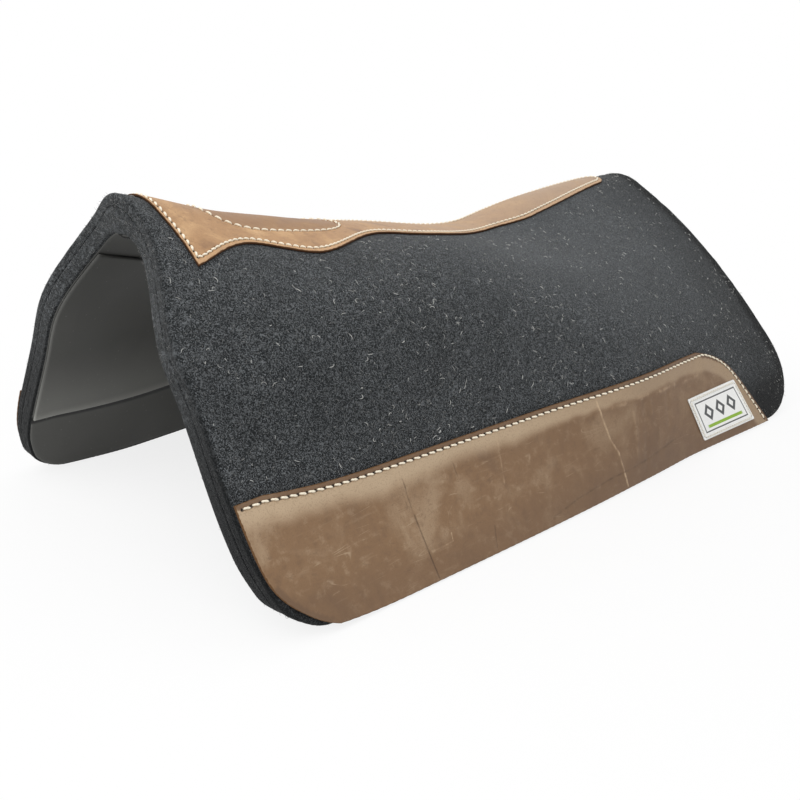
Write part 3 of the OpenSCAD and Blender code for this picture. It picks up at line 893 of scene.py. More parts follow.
def span(tree, value, low, high, to_low=0.0, to_high=1.0):
    """Maps a value from one range to another, smoothly."""
    return add(tree, "MapRange", {
        "Value": value, "From Min": low, "From Max": high, "To Min": to_low, "To Max": to_high,
    }, interpolation_type="SMOOTHSTEP").outputs[0]


def blend(tree, share, a, b):
    """Mixes two colours."""
    return add(tree, "Mix", {0: share, 6: a, 7: b}, data_type="RGBA").outputs[2]


def lumps(tree, place, scale, detail=2.0, roughness=0.5, distortion=0.0):
    """Noise over a place."""
    return add(tree, "TexNoise", {
        "Vector": place, "Scale": scale, "Detail": detail, "Roughness": roughness,
        "Distortion": distortion}).outputs["Fac"]


def attribute(tree, name, output="Fac"):
    """A mask or a place that the mesh carries."""
    return add(tree, "Attribute", attribute_name=name).outputs[output]


def flat_place(tree):
    """The place on the pad: along it, across it, and down its flap on either side."""
    along, across, _ = add(
        tree, "SeparateXYZ", {0: attribute(tree, "flat", "Vector")}).outputs
    return along, across, maths(tree, "ABSOLUTE", across)


def node_group(name, inputs, outputs):
    """An empty shader node group, with its input sockets and the node that takes its outputs."""
    tree = bpy.data.node_groups.new(name, "ShaderNodeTree")
    for socket_name, kind, default in inputs:
        socket = tree.interface.new_socket(
            socket_name, in_out="INPUT", socket_type="NodeSocket" + kind)
        if default is not None:
            socket.default_value = default
    for socket_name, kind in outputs:
        tree.interface.new_socket(
            socket_name, in_out="OUTPUT", socket_type="NodeSocket" + kind)
    return tree, tree.nodes.new("NodeGroupInput").outputs, tree.nodes.new("NodeGroupOutput")


def place_group(tree, name, inputs):
    """Puts a shared effect, built only once, into a tree with its own values."""
    group = bpy.data.node_groups.get(name) or EFFECTS[name]()
    made = add(tree, "Group", node_tree=group)
    for key, value in inputs.items():
        feed(tree, made.inputs[key], value)
    return made.outputs


def new_material(name, inputs):
    """A material whose Principled shader has these constants, and its tree."""
    material = bpy.data.materials.new(name)
    material.use_nodes = True
    tree = material.node_tree
    shader = tree.nodes["Principled BSDF"]
    for key, value in inputs.items():
        shader.inputs[key].default_value = value
    return material, tree, shader


def bump(tree, shader, height, distance):
    """Feeds the shader's normal from a height, of which 1 stands for a distance."""
    made = add(tree, "Bump", {"Height": height, "Distance": distance, "Strength": 1.0})
    tree.links.new(made.outputs["Normal"], shader.inputs["Normal"])


def object_place(tree):
    """The place in the object's own frame."""
    return add(tree, "TexCoord").outputs["Object"]


# ---- Shared effects ----

def wool_fibres_group():
    """Needled wool: curly pale strands over a mottled ground with dark pits."""
    tree, given, out = node_group("Wool Fibres", [
        ("Place", "Vector", None), ("Fibre Scale", "Float", 420.0), ("Amount", "Float", 0.5),
        ("Ground", "Color", rgb("34373A")), ("Fibre", "Color", rgb("70747A")),
        ("Pit", "Color", rgb("1B1D1F"))], [("Colour", "Color"), ("Height", "Float")])
    place, scale = given["Place"], given["Fibre Scale"]
    warp = add(tree, "TexNoise", {"Vector": place, "Scale": times(tree, scale, 0.8)})
    off = vectors(tree, "SUBTRACT", warp.outputs["Color"], (0.5, 0.5, 0.5))
    off = vectors(tree, "MULTIPLY", off, (3.5 * MM, 3.5 * MM, 3.5 * MM))
    curled = vectors(tree, "ADD", place, off)
    strands = 0.0
    for share, shift in ((1.0, 0.0), (1.45, 0.31), (2.1, 0.67)):
        moved = vectors(tree, "ADD", curled, (shift, shift, -shift))
        wave = lumps(tree, moved, times(tree, scale, share), detail=0.0)
        strand = span(tree, apart(tree, wave, 0.5), 0.0, 0.055, 1.0, 0.0)
        gaps = lumps(tree, moved, times(tree, scale, 0.55 * share), detail=0.0)
        strand = times(tree, strand, span(tree, gaps, 0.47, 0.62))
        strands = maths(tree, "MAXIMUM", strands, strand)
    grain = lumps(tree, place, times(tree, scale, 3.8), detail=1.0)
    patches = lumps(tree, place, 22.0, detail=3.0)
    pits = span(tree, grain, 0.50, 0.38)
    ground = blend(tree, times(tree, pits, 0.88), given["Ground"], given["Pit"])
    ground = blend(tree, span(tree, grain, 0.53, 0.64, 0.0, 0.84), ground, given["Fibre"])
    ground = blend(tree, span(tree, patches, 0.35, 0.7, 0.0, 0.25), ground, given["Pit"])
    shown = times(tree, strands, given["Amount"])
    feed(tree, out.inputs["Colour"], blend(tree, shown, ground, given["Fibre"]))
    height = maths(tree, "ADD", times(tree, strands, 0.6), times(tree, grain, 0.8))
    feed(tree, out.inputs["Height"], height)
    return tree


def leather_grain_group():
    """Fine pebbled grain with pores between the pebbles."""
    tree, given, out = node_group("Leather Grain", [
        ("Place", "Vector", None), ("Grain Scale", "Float", 900.0)],
        [("Height", "Float"), ("Pores", "Float")])
    place = given["Place"]
    cells = add(tree, "TexVoronoi", {
        "Vector": place, "Scale": given["Grain Scale"]}).outputs["Distance"]
    fine = lumps(tree, place, times(tree, given["Grain Scale"], 0.35), detail=4.0)
    pebbles = span(tree, cells, 0.1, 0.75, 1.0, 0.0)
    height = maths(tree, "ADD", times(tree, pebbles, 0.45), times(tree, fine, 0.9))
    feed(tree, out.inputs["Height"], height)
    feed(tree, out.inputs["Pores"], span(tree, cells, 0.55, 0.85))
    return tree


def pull_up_group():
    """Oiled pull-up leather: cloudy patches where the oils gathered or drew away."""
    tree, given, out = node_group("Pull-up Clouds", [
        ("Place", "Vector", None), ("Patch Scale", "Float", 18.0), ("Base", "Color", rgb("87694C")),
        ("Light", "Color", rgb("A58B73")), ("Dark", "Color", rgb("6C5440")),
        ("Contrast", "Float", 0.6)], [("Colour", "Color"), ("Rubbed", "Float")])
    place, patches = given["Place"], given["Patch Scale"]
    broad = lumps(tree, place, patches, detail=4.0, roughness=0.55, distortion=0.6)
    small = lumps(tree, place, times(tree, patches, 5.2), detail=5.0, roughness=0.65)
    stretched = vectors(tree, "MULTIPLY", place, (1.0, 0.16, 1.0))
    streaks = lumps(tree, stretched, times(tree, patches, 11.0), detail=3.0)
    light = times(tree, span(tree, broad, 0.48, 0.72), given["Contrast"])
    dark = times(tree, span(tree, broad, 0.47, 0.28), given["Contrast"])
    mixed = blend(tree, light, given["Base"], given["Light"])
    mixed = blend(tree, dark, mixed, given["Dark"])
    mixed = blend(tree, span(tree, small, 0.52, 0.7, 0.0, 0.25), mixed, given["Light"])
    mixed = blend(tree, span(tree, small, 0.48, 0.3, 0.0, 0.4), mixed, given["Dark"])
    for scale, share, shade in ((2.6, 0.55, "Light"), (4.1, 0.5, "Dark")):
        scale = times(tree, patches, scale)
        wave = lumps(tree, stretched, scale, detail=1.0, distortion=1.2)
        scratch = times(tree, span(tree, apart(tree, wave, 0.5), 0.0, 0.012, share, 0.0),
                        span(tree, lumps(tree, place, scale), 0.52, 0.66))
        mixed = blend(tree, scratch, mixed, given[shade])
    mixed = blend(tree, span(tree, streaks, 0.6, 0.8, 0.0, 0.22), mixed, given["Light"])
    feed(tree, out.inputs["Colour"], mixed)
    feed(tree, out.inputs["Rubbed"], light)
    return tree


def cut_edge_group():
    """Raw cut edge of a sheet: fibrous on the wall, worn along the corner above it."""
    tree, given, out = node_group("Cut Edge", [
        ("Place", "Vector", None), ("Edge", "Float", 1.0), ("Wall", "Float", 0.0),
        ("Reach", "Float", 0.0009), ("Surface", "Color", rgb("87694C")),
        ("Raw", "Color", rgb("7A4A26")), ("Burnished", "Color", rgb("2E1C10"))],
        [("Colour", "Color"), ("Mask", "Float")])
    place = given["Place"]
    uneven = span(tree, lumps(tree, place, 260.0, detail=2.0), 0.3, 0.7, 0.6, 1.5)
    reach = times(tree, given["Reach"], uneven)
    worn = span(tree, maths(tree, "DIVIDE", given["Edge"], reach), 1.0, 0.35)
    on_wall = span(tree, given["Wall"], 0.02, 0.2)
    fibres = lumps(tree, place, 1600.0, detail=3.0)
    raw = blend(tree, span(tree, fibres, 0.35, 0.65, 0.1, 0.5), given["Raw"], given["Burnished"])
    raw = blend(tree, span(tree, given["Wall"], 0.3, 0.9, 0.0, 0.75), raw, given["Burnished"])
    mask = maths(tree, "MAXIMUM", worn, on_wall)
    feed(tree, out.inputs["Colour"], blend(tree, mask, given["Surface"], raw))
    feed(tree, out.inputs["Mask"], mask)
    return tree


def woven_group():
    """Plain weave from two crossed sets of ribs."""
    tree, given, out = node_group("Weave", [
        ("Along", "Float", 0.0), ("Across", "Float", 0.0), ("Pitch", "Float", 0.0016)],
        [("Height", "Float"), ("Shade", "Float")])
    turns = maths(tree, "DIVIDE", 2 * math.pi, given["Pitch"])
    warp = maths(tree, "SINE", times(tree, given["Along"], turns))
    weft = maths(tree, "SINE", times(tree, given["Across"], turns))
    height = times(tree, warp, weft)
    feed(tree, out.inputs["Height"], height)
    feed(tree, out.inputs["Shade"], span(tree, height, -0.9, 0.6))
    return tree


def dust_group():
    """Sparse pale specks of lint and dust."""
    tree, given, out = node_group("Dust", [
        ("Place", "Vector", None), ("Speck Scale", "Float", 240.0), ("Amount", "Float", 0.3)],
        [("Mask", "Float")])
    cells = add(tree, "TexVoronoi", {"Vector": given["Place"], "Scale": given["Speck Scale"]})
    chosen = span(tree, add(tree, "SeparateColor", {0: cells.outputs["Color"]}).outputs[0],
                  0.86, 0.9)
    speck = span(tree, cells.outputs["Distance"], 0.22, 0.1)
    feed(tree, out.inputs["Mask"], times(tree, times(tree, chosen, speck), given["Amount"]))
    return tree


EFFECTS = {"Wool Fibres": wool_fibres_group, "Leather Grain": leather_grain_group,
           "Pull-up Clouds": pull_up_group, "Cut Edge": cut_edge_group, "Weave": woven_group,
           "Dust": dust_group}


# ---- Finishes ----

LOOSE_FIBRE = rgb("ECECE8")
SKIN_SCUFF = rgb("8A8986")
SKIN_EDGE = rgb("6E6E6B")
PAINTED_STEP_SHADOW = rgb("101010")  # Painted shadow on the lining under the insert's lower edge
PAINTED_CREST_SHADE = rgb("2A2A29")  # Painted shade in the channel under the crest
PAINTED_LIP_LIGHT = rgb("B4B4AE")  # Painted light and highlight along the insert's rounded lower edge
SKIN_DUST = rgb("A0A09C")
NEEDLE_HOLE = rgb("0D0906")
SPINE_REAR = rgb("B49C86")  # The greyer rear of the spine leather
CREASE_PULL_UP_AND_HIGHLIGHT = rgb("CDB292")  # Where a crease has pulled the oils away, with a painted highlight along its ridge
PAINTED_CREASE_SHADE = rgb("3A291B")  # Painted shade in a crease's groove
THREAD_SHADE = rgb("C4AE84")  # Waxy patches on the thread
THREAD_END_SHADE = rgb("6B5433")  # Painted shade where the thread goes into its holes
WHITE_THREAD = rgb("E9E7DF")
TAPE_DARK = rgb("1C1C1C")
TAPE_PALE = rgb("3C3C3B")
LABEL_SOIL = rgb("D2D0C6")
LABEL_EDGE = rgb("8F8C84")
LABEL_HOLE = rgb("55504A")
FLOOR_SHADE = rgb("DADADA")
WHITE = (1.0, 1.0, 1.0, 1.0)


def felt_finish(name, ground, fibre, pit_and_shade, amount):
    """Charcoal wool felt, darker on its cut edges, with painted shade to the rear and on the front
    shoulder and painted light mid-flap.
    """
    material, tree, shader = new_material(name, {
        "Roughness": 0.92, "Specular IOR Level": 0.12, "Sheen Weight": 0.1, "Sheen Roughness": 0.5})
    place = object_place(tree)
    wool = place_group(tree, "Wool Fibres", {
        "Place": place, "Fibre Scale": 250.0, "Amount": amount, "Ground": ground, "Fibre": fibre,
        "Pit": pit_and_shade})
    along, _, down = flat_place(tree)
    low = span(tree, down, 0.14, 0.34, 0.62, 1.0)
    edge = attribute(tree, "edge")
    on_wall = span(tree, edge, 0.004, 0.001)
    # Painted shade along the rear edge and along the hem
    painted_rear_edge_shade = times(tree, span(tree, edge, 0.03, 0.004), span(tree, along, 0.5, 0.7))
    hem = span(tree, down, 0.33, 0.37, 0.0, 0.9)
    painted_edge_shade = maths(tree, "MAXIMUM", painted_rear_edge_shade, hem)
    # Painted shade over the rear of the flap, added to that of its edges
    rear = maths(tree, "ADD", span(tree, along, 0.62, 0.76, 0.0, 0.62), painted_edge_shade)
    # Painted shade on the front shoulder, and painted light over the middle of the flap
    painted_shoulder_shade = times(tree, span(tree, along, 0.45, 0.25), span(tree, down, 0.12, 0.2))
    middle = times(tree, span(tree, along, 0.25, 0.45), span(tree, down, 0.3, 0.1))
    wisps = span(tree, lumps(tree, place, 190.0, detail=3.0, distortion=1.5), 0.5, 0.66, 0.0, 0.32)
    wisps = times(tree, wisps, span(tree, down, 0.26, 0.16))
    tone = blend(tree, times(tree, painted_shoulder_shade, 0.17), wool["Colour"], pit_and_shade)
    tone = blend(tree, times(tree, middle, 0.19), tone, fibre)
    tone = blend(tree, times(tree, rear, 0.75), tone, pit_and_shade)
    tone = blend(tree, times(tree, low, on_wall), tone, pit_and_shade)
    tone = blend(tree, times(tree, wisps, on_wall), tone, fibre)
    tree.links.new(tone, shader.inputs["Base Color"])
    bump(tree, shader, wool["Height"], 1.4 * MM)
    return material


def fibre_finish(name, dark, pale):
    """Loose wool fibres, from dark to pale by their own shade."""
    material, tree, shader = new_material(name, {
        "Roughness": 0.85, "Specular IOR Level": 0.25, "Sheen Weight": 0.2})
    uneven = span(tree, lumps(tree, object_place(tree), 700.0), 0.3, 0.7, 0.75, 1.0)
    shade = times(tree, attribute(tree, "shade"), uneven)
    tree.links.new(blend(tree, shade, dark, pale), shader.inputs["Base Color"])
    return material


def skin_finish(name, ground, dusty, lip=None, step=None):
    """Smooth matt skin with painted light above a lip, painted shadow round a step and painted shade
    near the crest, at distances down the flap.
    """
    material, tree, shader = new_material(name, {"Specular IOR Level": 0.3})
    place = object_place(tree)
    grain = place_group(tree, "Leather Grain", {"Place": place, "Grain Scale": 1500.0})
    dust = place_group(tree, "Dust", {"Place": place, "Amount": dusty})
    clouds = lumps(tree, place, 9.0, detail=3.0)
    edge = span(tree, attribute(tree, "edge"), 0.003, 0.0, 0.0, 0.35)
    down = flat_place(tree)[2]
    tone = blend(tree, span(tree, clouds, 0.4, 0.7, 0.0, 0.12), ground, SKIN_SCUFF)
    tone = blend(tree, edge, tone, SKIN_EDGE)
    # Painted shadow cast by the insert's lower edge onto the lining
    if step:
        shade = span(tree, apart(tree, down, step), 0.008, 0.003, 0.0, 0.95)
        tone = blend(tree, shade, tone, PAINTED_STEP_SHADOW)
    # Painted shade in the channel under the crest
    tone = blend(tree, span(tree, down, 0.2, 0.07, 0.0, 0.5), tone, PAINTED_CREST_SHADE)
    # Painted light rising towards the insert's lower edge, and a narrow painted highlight along it
    if lip:
        for width, share in ((0.09, 0.22), (0.012, 0.3)):
            tone = blend(tree, span(tree, down, lip - width, lip, 0.0, share), tone, PAINTED_LIP_LIGHT)
    tree.links.new(blend(tree, dust["Mask"], tone, SKIN_DUST), shader.inputs["Base Color"])
    tree.links.new(span(tree, clouds, 0.3, 0.7, 0.58, 0.72), shader.inputs["Roughness"])
    bump(tree, shader, grain["Height"], 0.05 * MM)
    return material


def leather_finish(name, base, light, dark, raw, patch_scale, contrast, extra):
    """Oiled leather with grain, clouds, raw cut edges and dark needle holes."""
    material, tree, shader = new_material(name, {"Specular IOR Level": 0.32})
    place = object_place(tree)
    clouds = place_group(tree, "Pull-up Clouds", {
        "Place": place, "Patch Scale": patch_scale, "Base": base, "Light": light, "Dark": dark,
        "Contrast": contrast})
    grain = place_group(tree, "Leather Grain", {"Place": place})
    tone = extra(tree, clouds["Colour"], light, dark)
    tone = blend(tree, times(tree, grain["Pores"], 0.25), tone, dark)
    edge = place_group(tree, "Cut Edge", {
        "Place": place, "Edge": attribute(tree, "edge"), "Wall": attribute(tree, "wall"),
        "Surface": tone, "Raw": raw})
    hole = attribute(tree, "hole")
    tree.links.new(blend(tree, hole, edge["Colour"], NEEDLE_HOLE), shader.inputs["Base Color"])
    rough = span(tree, clouds["Rubbed"], 0.0, 0.6, 0.52, 0.66)
    tree.links.new(maths(tree, "MAXIMUM", rough, times(tree, edge["Mask"], 0.9)),
                   shader.inputs["Roughness"])
    bump(tree, shader, grain["Height"], 0.12 * MM)
    return material


def spine_tones(tree, tone, light, dark):
    """Greyer towards the rear, paler outside the stitches and darker inside the oval."""
    along = flat_place(tree)[0]
    tone = blend(tree, span(tree, along, 0.16, 0.62, 0.0, 0.7), tone, SPINE_REAR)
    tone = blend(tree, times(tree, attribute(tree, "rim"), 0.45), tone, light)
    return blend(tree, times(tree, attribute(tree, "oval"), 0.6), tone, dark)


def wear_tones(tree, tone, light, dark):
    """Smoother and paler under the row of stitches, darker over it, with creases: pale pull-up with
    painted highlight on their ridges, painted shade in their grooves.
    """
    along, _, down = flat_place(tree)
    tone = blend(tree, span(tree, along, 0.1, 0.5, 0.0, 0.4), tone, dark)
    tone = blend(tree, span(tree, down, 0.35, 0.39, 0.0, 0.4), tone, dark)
    band = times(tree, attribute(tree, "band"), span(tree, along, 0.2, 0.5, 1.0, 0.55))
    tone = blend(tree, band, tone, light)
    tone = blend(tree, times(tree, attribute(tree, "rim"), 0.7), tone, dark)
    broken = span(tree, lumps(tree, object_place(tree), 90.0, detail=4.0), 0.3, 0.65, 0.25, 1.0)
    crease = times(tree, attribute(tree, "crease"), broken)
    # Pale pull-up with a painted highlight on the creases' ridges, then painted shade in their
    # grooves
    tone = blend(tree, span(tree, crease, 0.0, 1.0, 0.0, 0.85), tone, CREASE_PULL_UP_AND_HIGHLIGHT)
    return blend(tree, span(tree, crease, 0.0, -1.0, 0.0, 0.8), tone, PAINTED_CREASE_SHADE)


def thread_finish(name, ground):
    """Waxed thread whose plies are darker between them, with painted shade at its ends where it goes
    into its holes.
    """
    material, tree, shader = new_material(name, {
        "Roughness": 0.55, "Specular IOR Level": 0.35, "Sheen Weight": 0.1})
    # Painted shade at the ends, where the thread dips into its holes
    ends = span(tree, attribute(tree, "ends"), 0.85, 1.0, 0.0, 0.6)
    fuzz = lumps(tree, object_place(tree), 2600.0, detail=2.0)
    tone = blend(tree, span(tree, fuzz, 0.35, 0.65, 0.0, 0.2), ground, THREAD_SHADE)
    tree.links.new(blend(tree, ends, tone, THREAD_END_SHADE), shader.inputs["Base Color"])
    bump(tree, shader, fuzz, 0.08 * MM)
    return material


def tape_finish(name):
    """Woven dark tape."""
    material, tree, shader = new_material(name, {
        "Roughness": 0.8, "Specular IOR Level": 0.25, "Sheen Weight": 0.15})
    along, across, _ = flat_place(tree)
    weave = place_group(tree, "Weave", {"Along": along, "Across": across})
    tree.links.new(blend(tree, weave["Shade"], TAPE_DARK, TAPE_PALE), shader.inputs["Base Color"])
    bump(tree, shader, weave["Height"], 0.2 * MM)
    return material


def label_finish(name, colours):
    """White patch printed with a thin frame, three lozenges and a green bar."""
    material, tree, shader = new_material(name, {"Specular IOR Level": 0.4, "Roughness": 0.45})
    u, v = attribute(tree, "print_u"), attribute(tree, "print_v")

    def shape(form, centre_u, centre_v, half_u, half_v, soft):
        """Mask of a box (MAXIMUM) or a lozenge (ADD), in shares of the label."""
        du = maths(tree, "DIVIDE", apart(tree, u, centre_u), half_u)
        dv = maths(tree, "DIVIDE", apart(tree, v, centre_v), half_v)
        return span(tree, maths(tree, form, du, dv), 1.0 + soft, 1.0 - soft)

    outer = shape("MAXIMUM", 0.5, 0.5, 0.42, 0.36, 0.008)
    inner = shape("MAXIMUM", 0.5, 0.5, 0.405, 0.33, 0.008)
    ink = maths(tree, "SUBTRACT", outer, inner)
    for centre in (0.27, 0.5, 0.73):
        lozenge = shape("ADD", centre, 0.44, 0.095, 0.2, 0.06)
        hollow = shape("ADD", centre, 0.44, 0.045, 0.095, 0.1)
        ink = maths(tree, "MAXIMUM", ink, maths(tree, "SUBTRACT", lozenge, hollow))
    green = shape("MAXIMUM", 0.5, 0.74, 0.34, 0.035, 0.06)
    speckle = lumps(tree, object_place(tree), 500.0, detail=3.0)
    ground = blend(tree, span(tree, speckle, 0.4, 0.8, 0.0, 0.12), colours.label, LABEL_SOIL)
    printed = blend(tree, green, ground, colours.label_green)
    printed = blend(tree, times(tree, ink, 0.95), printed, colours.label_ink)
    edge = span(tree, attribute(tree, "edge"), 0.0006, 0.0, 0.0, 0.35)
    printed = blend(tree, edge, printed, LABEL_EDGE)
    printed = blend(tree, attribute(tree, "hole"), printed, LABEL_HOLE)
    tree.links.new(printed, shader.inputs["Base Color"])
    bump(tree, shader, speckle, 0.06 * MM)
    return material


def looked_at(tree):
    """1 where the camera, a reflection or a transmission looks, and 0 where light falls."""
    path = add(tree, "LightPath").outputs
    mirrored = maths(tree, "MAXIMUM", path["Is Glossy Ray"], path["Is Transmission Ray"])
    return maths(tree, "MAXIMUM", path["Is Camera Ray"], mirrored)


def backdrop_finish(name, ground):
    """Matt floor that the camera sees as white, and that keeps a soft shadow."""
    material, tree, shader = new_material(name, {"Roughness": 0.95, "Specular IOR Level": 0.1})
    speckle = lumps(tree, object_place(tree), 30.0, detail=4.0)
    tone = blend(tree, span(tree, speckle, 0.3, 0.7, 0.0, 0.04), ground, FLOOR_SHADE)
    tree.links.new(tone, shader.inputs["Base Color"])
    glow = add(tree, "Emission", {"Color": WHITE, "Strength": 1.0})
    far = add(tree, "VectorMath", {0: object_place(tree)}, operation="LENGTH").outputs["Value"]
    white = span(tree, far, 0.25, 0.8, 0.8, 1.0)
    mix = add(tree, "MixShader", {
        0: times(tree, looked_at(tree), white), 1: shader.outputs[0], 2: glow.outputs[0]})
    tree.links.new(mix.outputs[0], tree.nodes["Material Output"].inputs["Surface"])
    return material


# ---- Operators ----

class PadOperator:
    """What every operator of the saddle pad shares."""
    bl_options = {"REGISTER", "UNDO"}

    def given(self, context):
        """The scene's settings, and the surface that they give."""
        pad = context.scene.saddle_pad
        return pad, Surface(pad)


class Depths:
    """Depths of the sheets' outer faces."""

    def __init__(self, pad):
        layers, leather = pad.layers, pad.leather
        self.inner_felt = layers.outer_felt_t + layers.layer_gap
        self.lining = self.inner_felt + layers.inner_felt_t + layers.layer_gap
        self.insert = self.lining + layers.lining_t + layers.layer_gap
        self.spine_leather = -leather.leather_gap - leather.spine_t
        self.wear_leather = -leather.leather_gap - leather.wear_t
        self.label = self.wear_leather - layers.layer_gap - leather.label_t


def crest_fill(pad, base):
    """A depth that swells by the crest fill near the crest."""
    layers = pad.layers

    def depth(y, s):
        share = np.clip(1 - (s / layers.crest_fill_w) ** 2, 0, None) ** 2
        return base + layers.crest_fill * share

    return depth


def felt_wall(y, s, share):
    """Uneven cut of the felt's wall, which stops at the crest."""
    lean = (noise(y + 0.9 * share, s, 9 * MM, seed=3)
            + 0.6 * noise(y, s + share * 0.02, 3.5 * MM, seed=4))
    return 0.45 * MM * lean * smooth_step(2 * MM, 10 * MM, np.abs(s)) * math.sin(math.pi * share)


class BuildFelts(PadOperator, bpy.types.Operator):
    """Builds the two halves of the outer and of the inner felt"""
    bl_idname = "saddle_pad.felts"
    bl_label = "Felts"

    def execute(self, context):
        pad, surface = self.given(context)
        layers, c, depth = pad.layers, pad.colours, Depths(pad).inner_felt

        def nap(y, s):
            return (-0.22 * MM * noise(y, s, 11 * MM, seed=1)
                    - 0.16 * MM * noise(y, s, 4.5 * MM, seed=2))

        sides = flap_sides(surface, 0, surface.flap)
        cut = {"loop_step": 3 * MM, "fill": 0.8, "cut": sides[:3], "walls": 7, "bulge": felt_wall}
        finish = felt_finish("outer_felt", c.felt, c.felt_fibre_and_light, c.felt_pit_and_shade, amount=0.65)
        build_flaps("outer_felt", "wool", finish, surface, sides, 0.0, layers.outer_felt_t,
                    spacing=3.2 * MM, relief=nap,
                    rounds=(layers.outer_round, layers.groove_round), **cut)
        finish = felt_finish("inner_felt", c.inner_felt, c.felt_fibre_and_light, c.felt_pit_and_shade, amount=0.6)
        build_flaps("inner_felt", "wool", finish, surface, sides, depth,
                    crest_fill(pad, depth + layers.inner_felt_t), spacing=12 * MM,
                    back_spacing=7 * MM, rounds=(layers.groove_round, layers.groove_round), **cut)
        return {"FINISHED"}


class BuildLining(PadOperator, bpy.types.Operator):
    """Builds the smooth lining of each flap"""
    bl_idname = "saddle_pad.lining"
    bl_label = "Lining"

    def execute(self, context):
        pad, surface = self.given(context)
        layers, depth = pad.layers, Depths(pad).lining
        # The lining's painted shadow lies 3 mm below the insert's lower edge
        step = surface.flap - layers.insert_ledge + 3 * MM
        finish = skin_finish("lining_skin", pad.colours.skin, dusty=0.25, step=step)
        clear = layers.hem_clear
        sides = flap_sides(surface, layers.lining_top, surface.flap - clear, clear)
        build_flaps("lining", "skin", finish, surface, sides, crest_fill(pad, depth),
                    crest_fill(pad, depth + layers.lining_t), spacing=12 * MM,
                    back_spacing=6 * MM, rounds=(0.2 * MM, 0.6 * MM), half_gap=layers.seam_gap / 2)
        return {"FINISHED"}


class BuildBarInserts(PadOperator, bpy.types.Operator):
    """Builds the padded insert under each bar of the saddle"""
    bl_idname = "saddle_pad.bar_inserts"
    bl_label = "Bar Inserts"

    def execute(self, context):
        pad, surface = self.given(context)
        layers, depth = pad.layers, Depths(pad).insert
        bottom = surface.flap - layers.insert_ledge
        # The insert is painted lighter towards its lower edge, with a painted highlight along it
        finish = skin_finish("insert_skin", pad.colours.skin, dusty=0.2, lip=bottom)
        sides = flap_sides(surface, layers.insert_top, bottom, layers.insert_margin)
        build_flaps("bar_insert", "skin", finish, surface, sides, crest_fill(pad, depth),
                    crest_fill(pad, depth + layers.insert_t), slot="insert_skin", fill=0.7,
                    spacing=12 * MM, back_spacing=5 * MM, rounds=(0.5 * MM, 1.8 * MM), walls=3,
                    half_gap=layers.seam_gap / 2)
        return {"FINISHED"}


class BuildSpineSeam(PadOperator, bpy.types.Operator):
    """Builds the zigzag that joins the two halves, and the tape over it"""
    bl_idname = "saddle_pad.spine_seam"
    bl_label = "Spine Seam"

    def execute(self, context):
        pad, surface = self.given(context)
        layers, stitching, depths = pad.layers, pad.stitching, Depths(pad)
        w, margin = layers.tape_half_width, layers.tape_margin
        corners = np.array([[margin, -w], [surface.length - margin, -w],
                            [surface.length - margin, w], [margin, w], [margin, -w]])
        loop = closed_loop([corners[k:k + 2] for k in range(4)], 3 * MM)
        tape = build_sheet("spine_seam_tape_weave", surface, loop, crest_fill(pad, depths.insert),
                           crest_fill(pad, depths.insert + layers.tape_t), spacing=10 * MM,
                           back_spacing=4 * MM, rounds=(0.1 * MM, 0.4 * MM))
        finish_piece(tape, tape_finish("seam_tape"), "spine_seam_tape")

        i = np.arange(int((surface.length - 2 * margin) / stitching.zigzag_pitch) - 1)
        start = 2 * margin + i * stitching.zigzag_pitch
        lean = np.where(i % 2 == 0, 1, -1) * stitching.zigzag_half_width
        share = np.linspace(0, 1, 7)
        y = start[:, None] + share * stitching.zigzag_pitch * stitching.zigzag_cover
        s = lean[:, None] * (1 - 2 * share)
        sunk = crest_fill(pad, depths.lining + stitching.thread_d / 2)(y, s)
        sunk = sunk - 0.7 * stitching.thread_d * np.abs(2 * share - 1) ** 4
        piece = thread_piece(
            "spine_seam_stitching_thread", surface, y, s, sunk, stitching.thread_d / 2)
        finish = thread_finish("seam_thread", pad.colours.thread)
        finish_piece(piece, finish, "spine_seam_stitching")
        return {"FINISHED"}


def centre_lines(surface, y, s, depth, half_gap=0.0):
    """Points along places[tube, ring], and the way up from the surface at each."""
    centres = surface.points(y, s, depth)
    ups = unit(surface.points(y, s, depth - MM) - centres)
    centres[:, 0] += np.sign(s).ravel() * half_gap
    return centres.reshape(*y.shape, 3), ups.reshape(*y.shape, 3)


def thread_piece(name, surface, y, s, depth, radius, half_gap=0.0):
    """Stitches as two-ply tubes along places[stitch, ring]."""
    centres, ups = centre_lines(surface, y, s, depth, half_gap)
    share = np.abs(np.linspace(-1, 1, y.shape[1]))
    radii = np.broadcast_to(radius * (1 - 0.35 * share ** 5), y.shape)
    ends = np.broadcast_to(share, y.shape)
    return build_tubes(name, centres, ups, radii, 8, {"ends": ends}, ply=0.12, twist=0.55)


def row_piece(name, pad, surface, rows, depth, side=NEAR, half_gap=0.0):
    """The stitches of some rows. Each leans a little and dips into the holes at its ends."""
    stitching = pad.stitching
    radius = stitching.thread_d / 2
    t = np.linspace(-1, 1, 10)[:, None]
    places = []
    for holes in rows:
        step = np.diff(holes, axis=0)
        across = unit(np.column_stack([-step[:, 1], step[:, 0]])) * stitching.slant
        places.append(holes[:-1, None] + step[:, None] * (0.5 + STITCH_SPAN / 2 * t)
                      + across[:, None] * STITCH_SPAN * t)
    places = np.vstack(places)
    y, s = places[..., 0], places[..., 1] * side
    depths = depth + radius * (1.9 * np.abs(t[:, 0]) ** 6 - 0.5) + np.zeros(y.shape)
    return thread_piece(name, surface, y, s, depths, radius, half_gap)


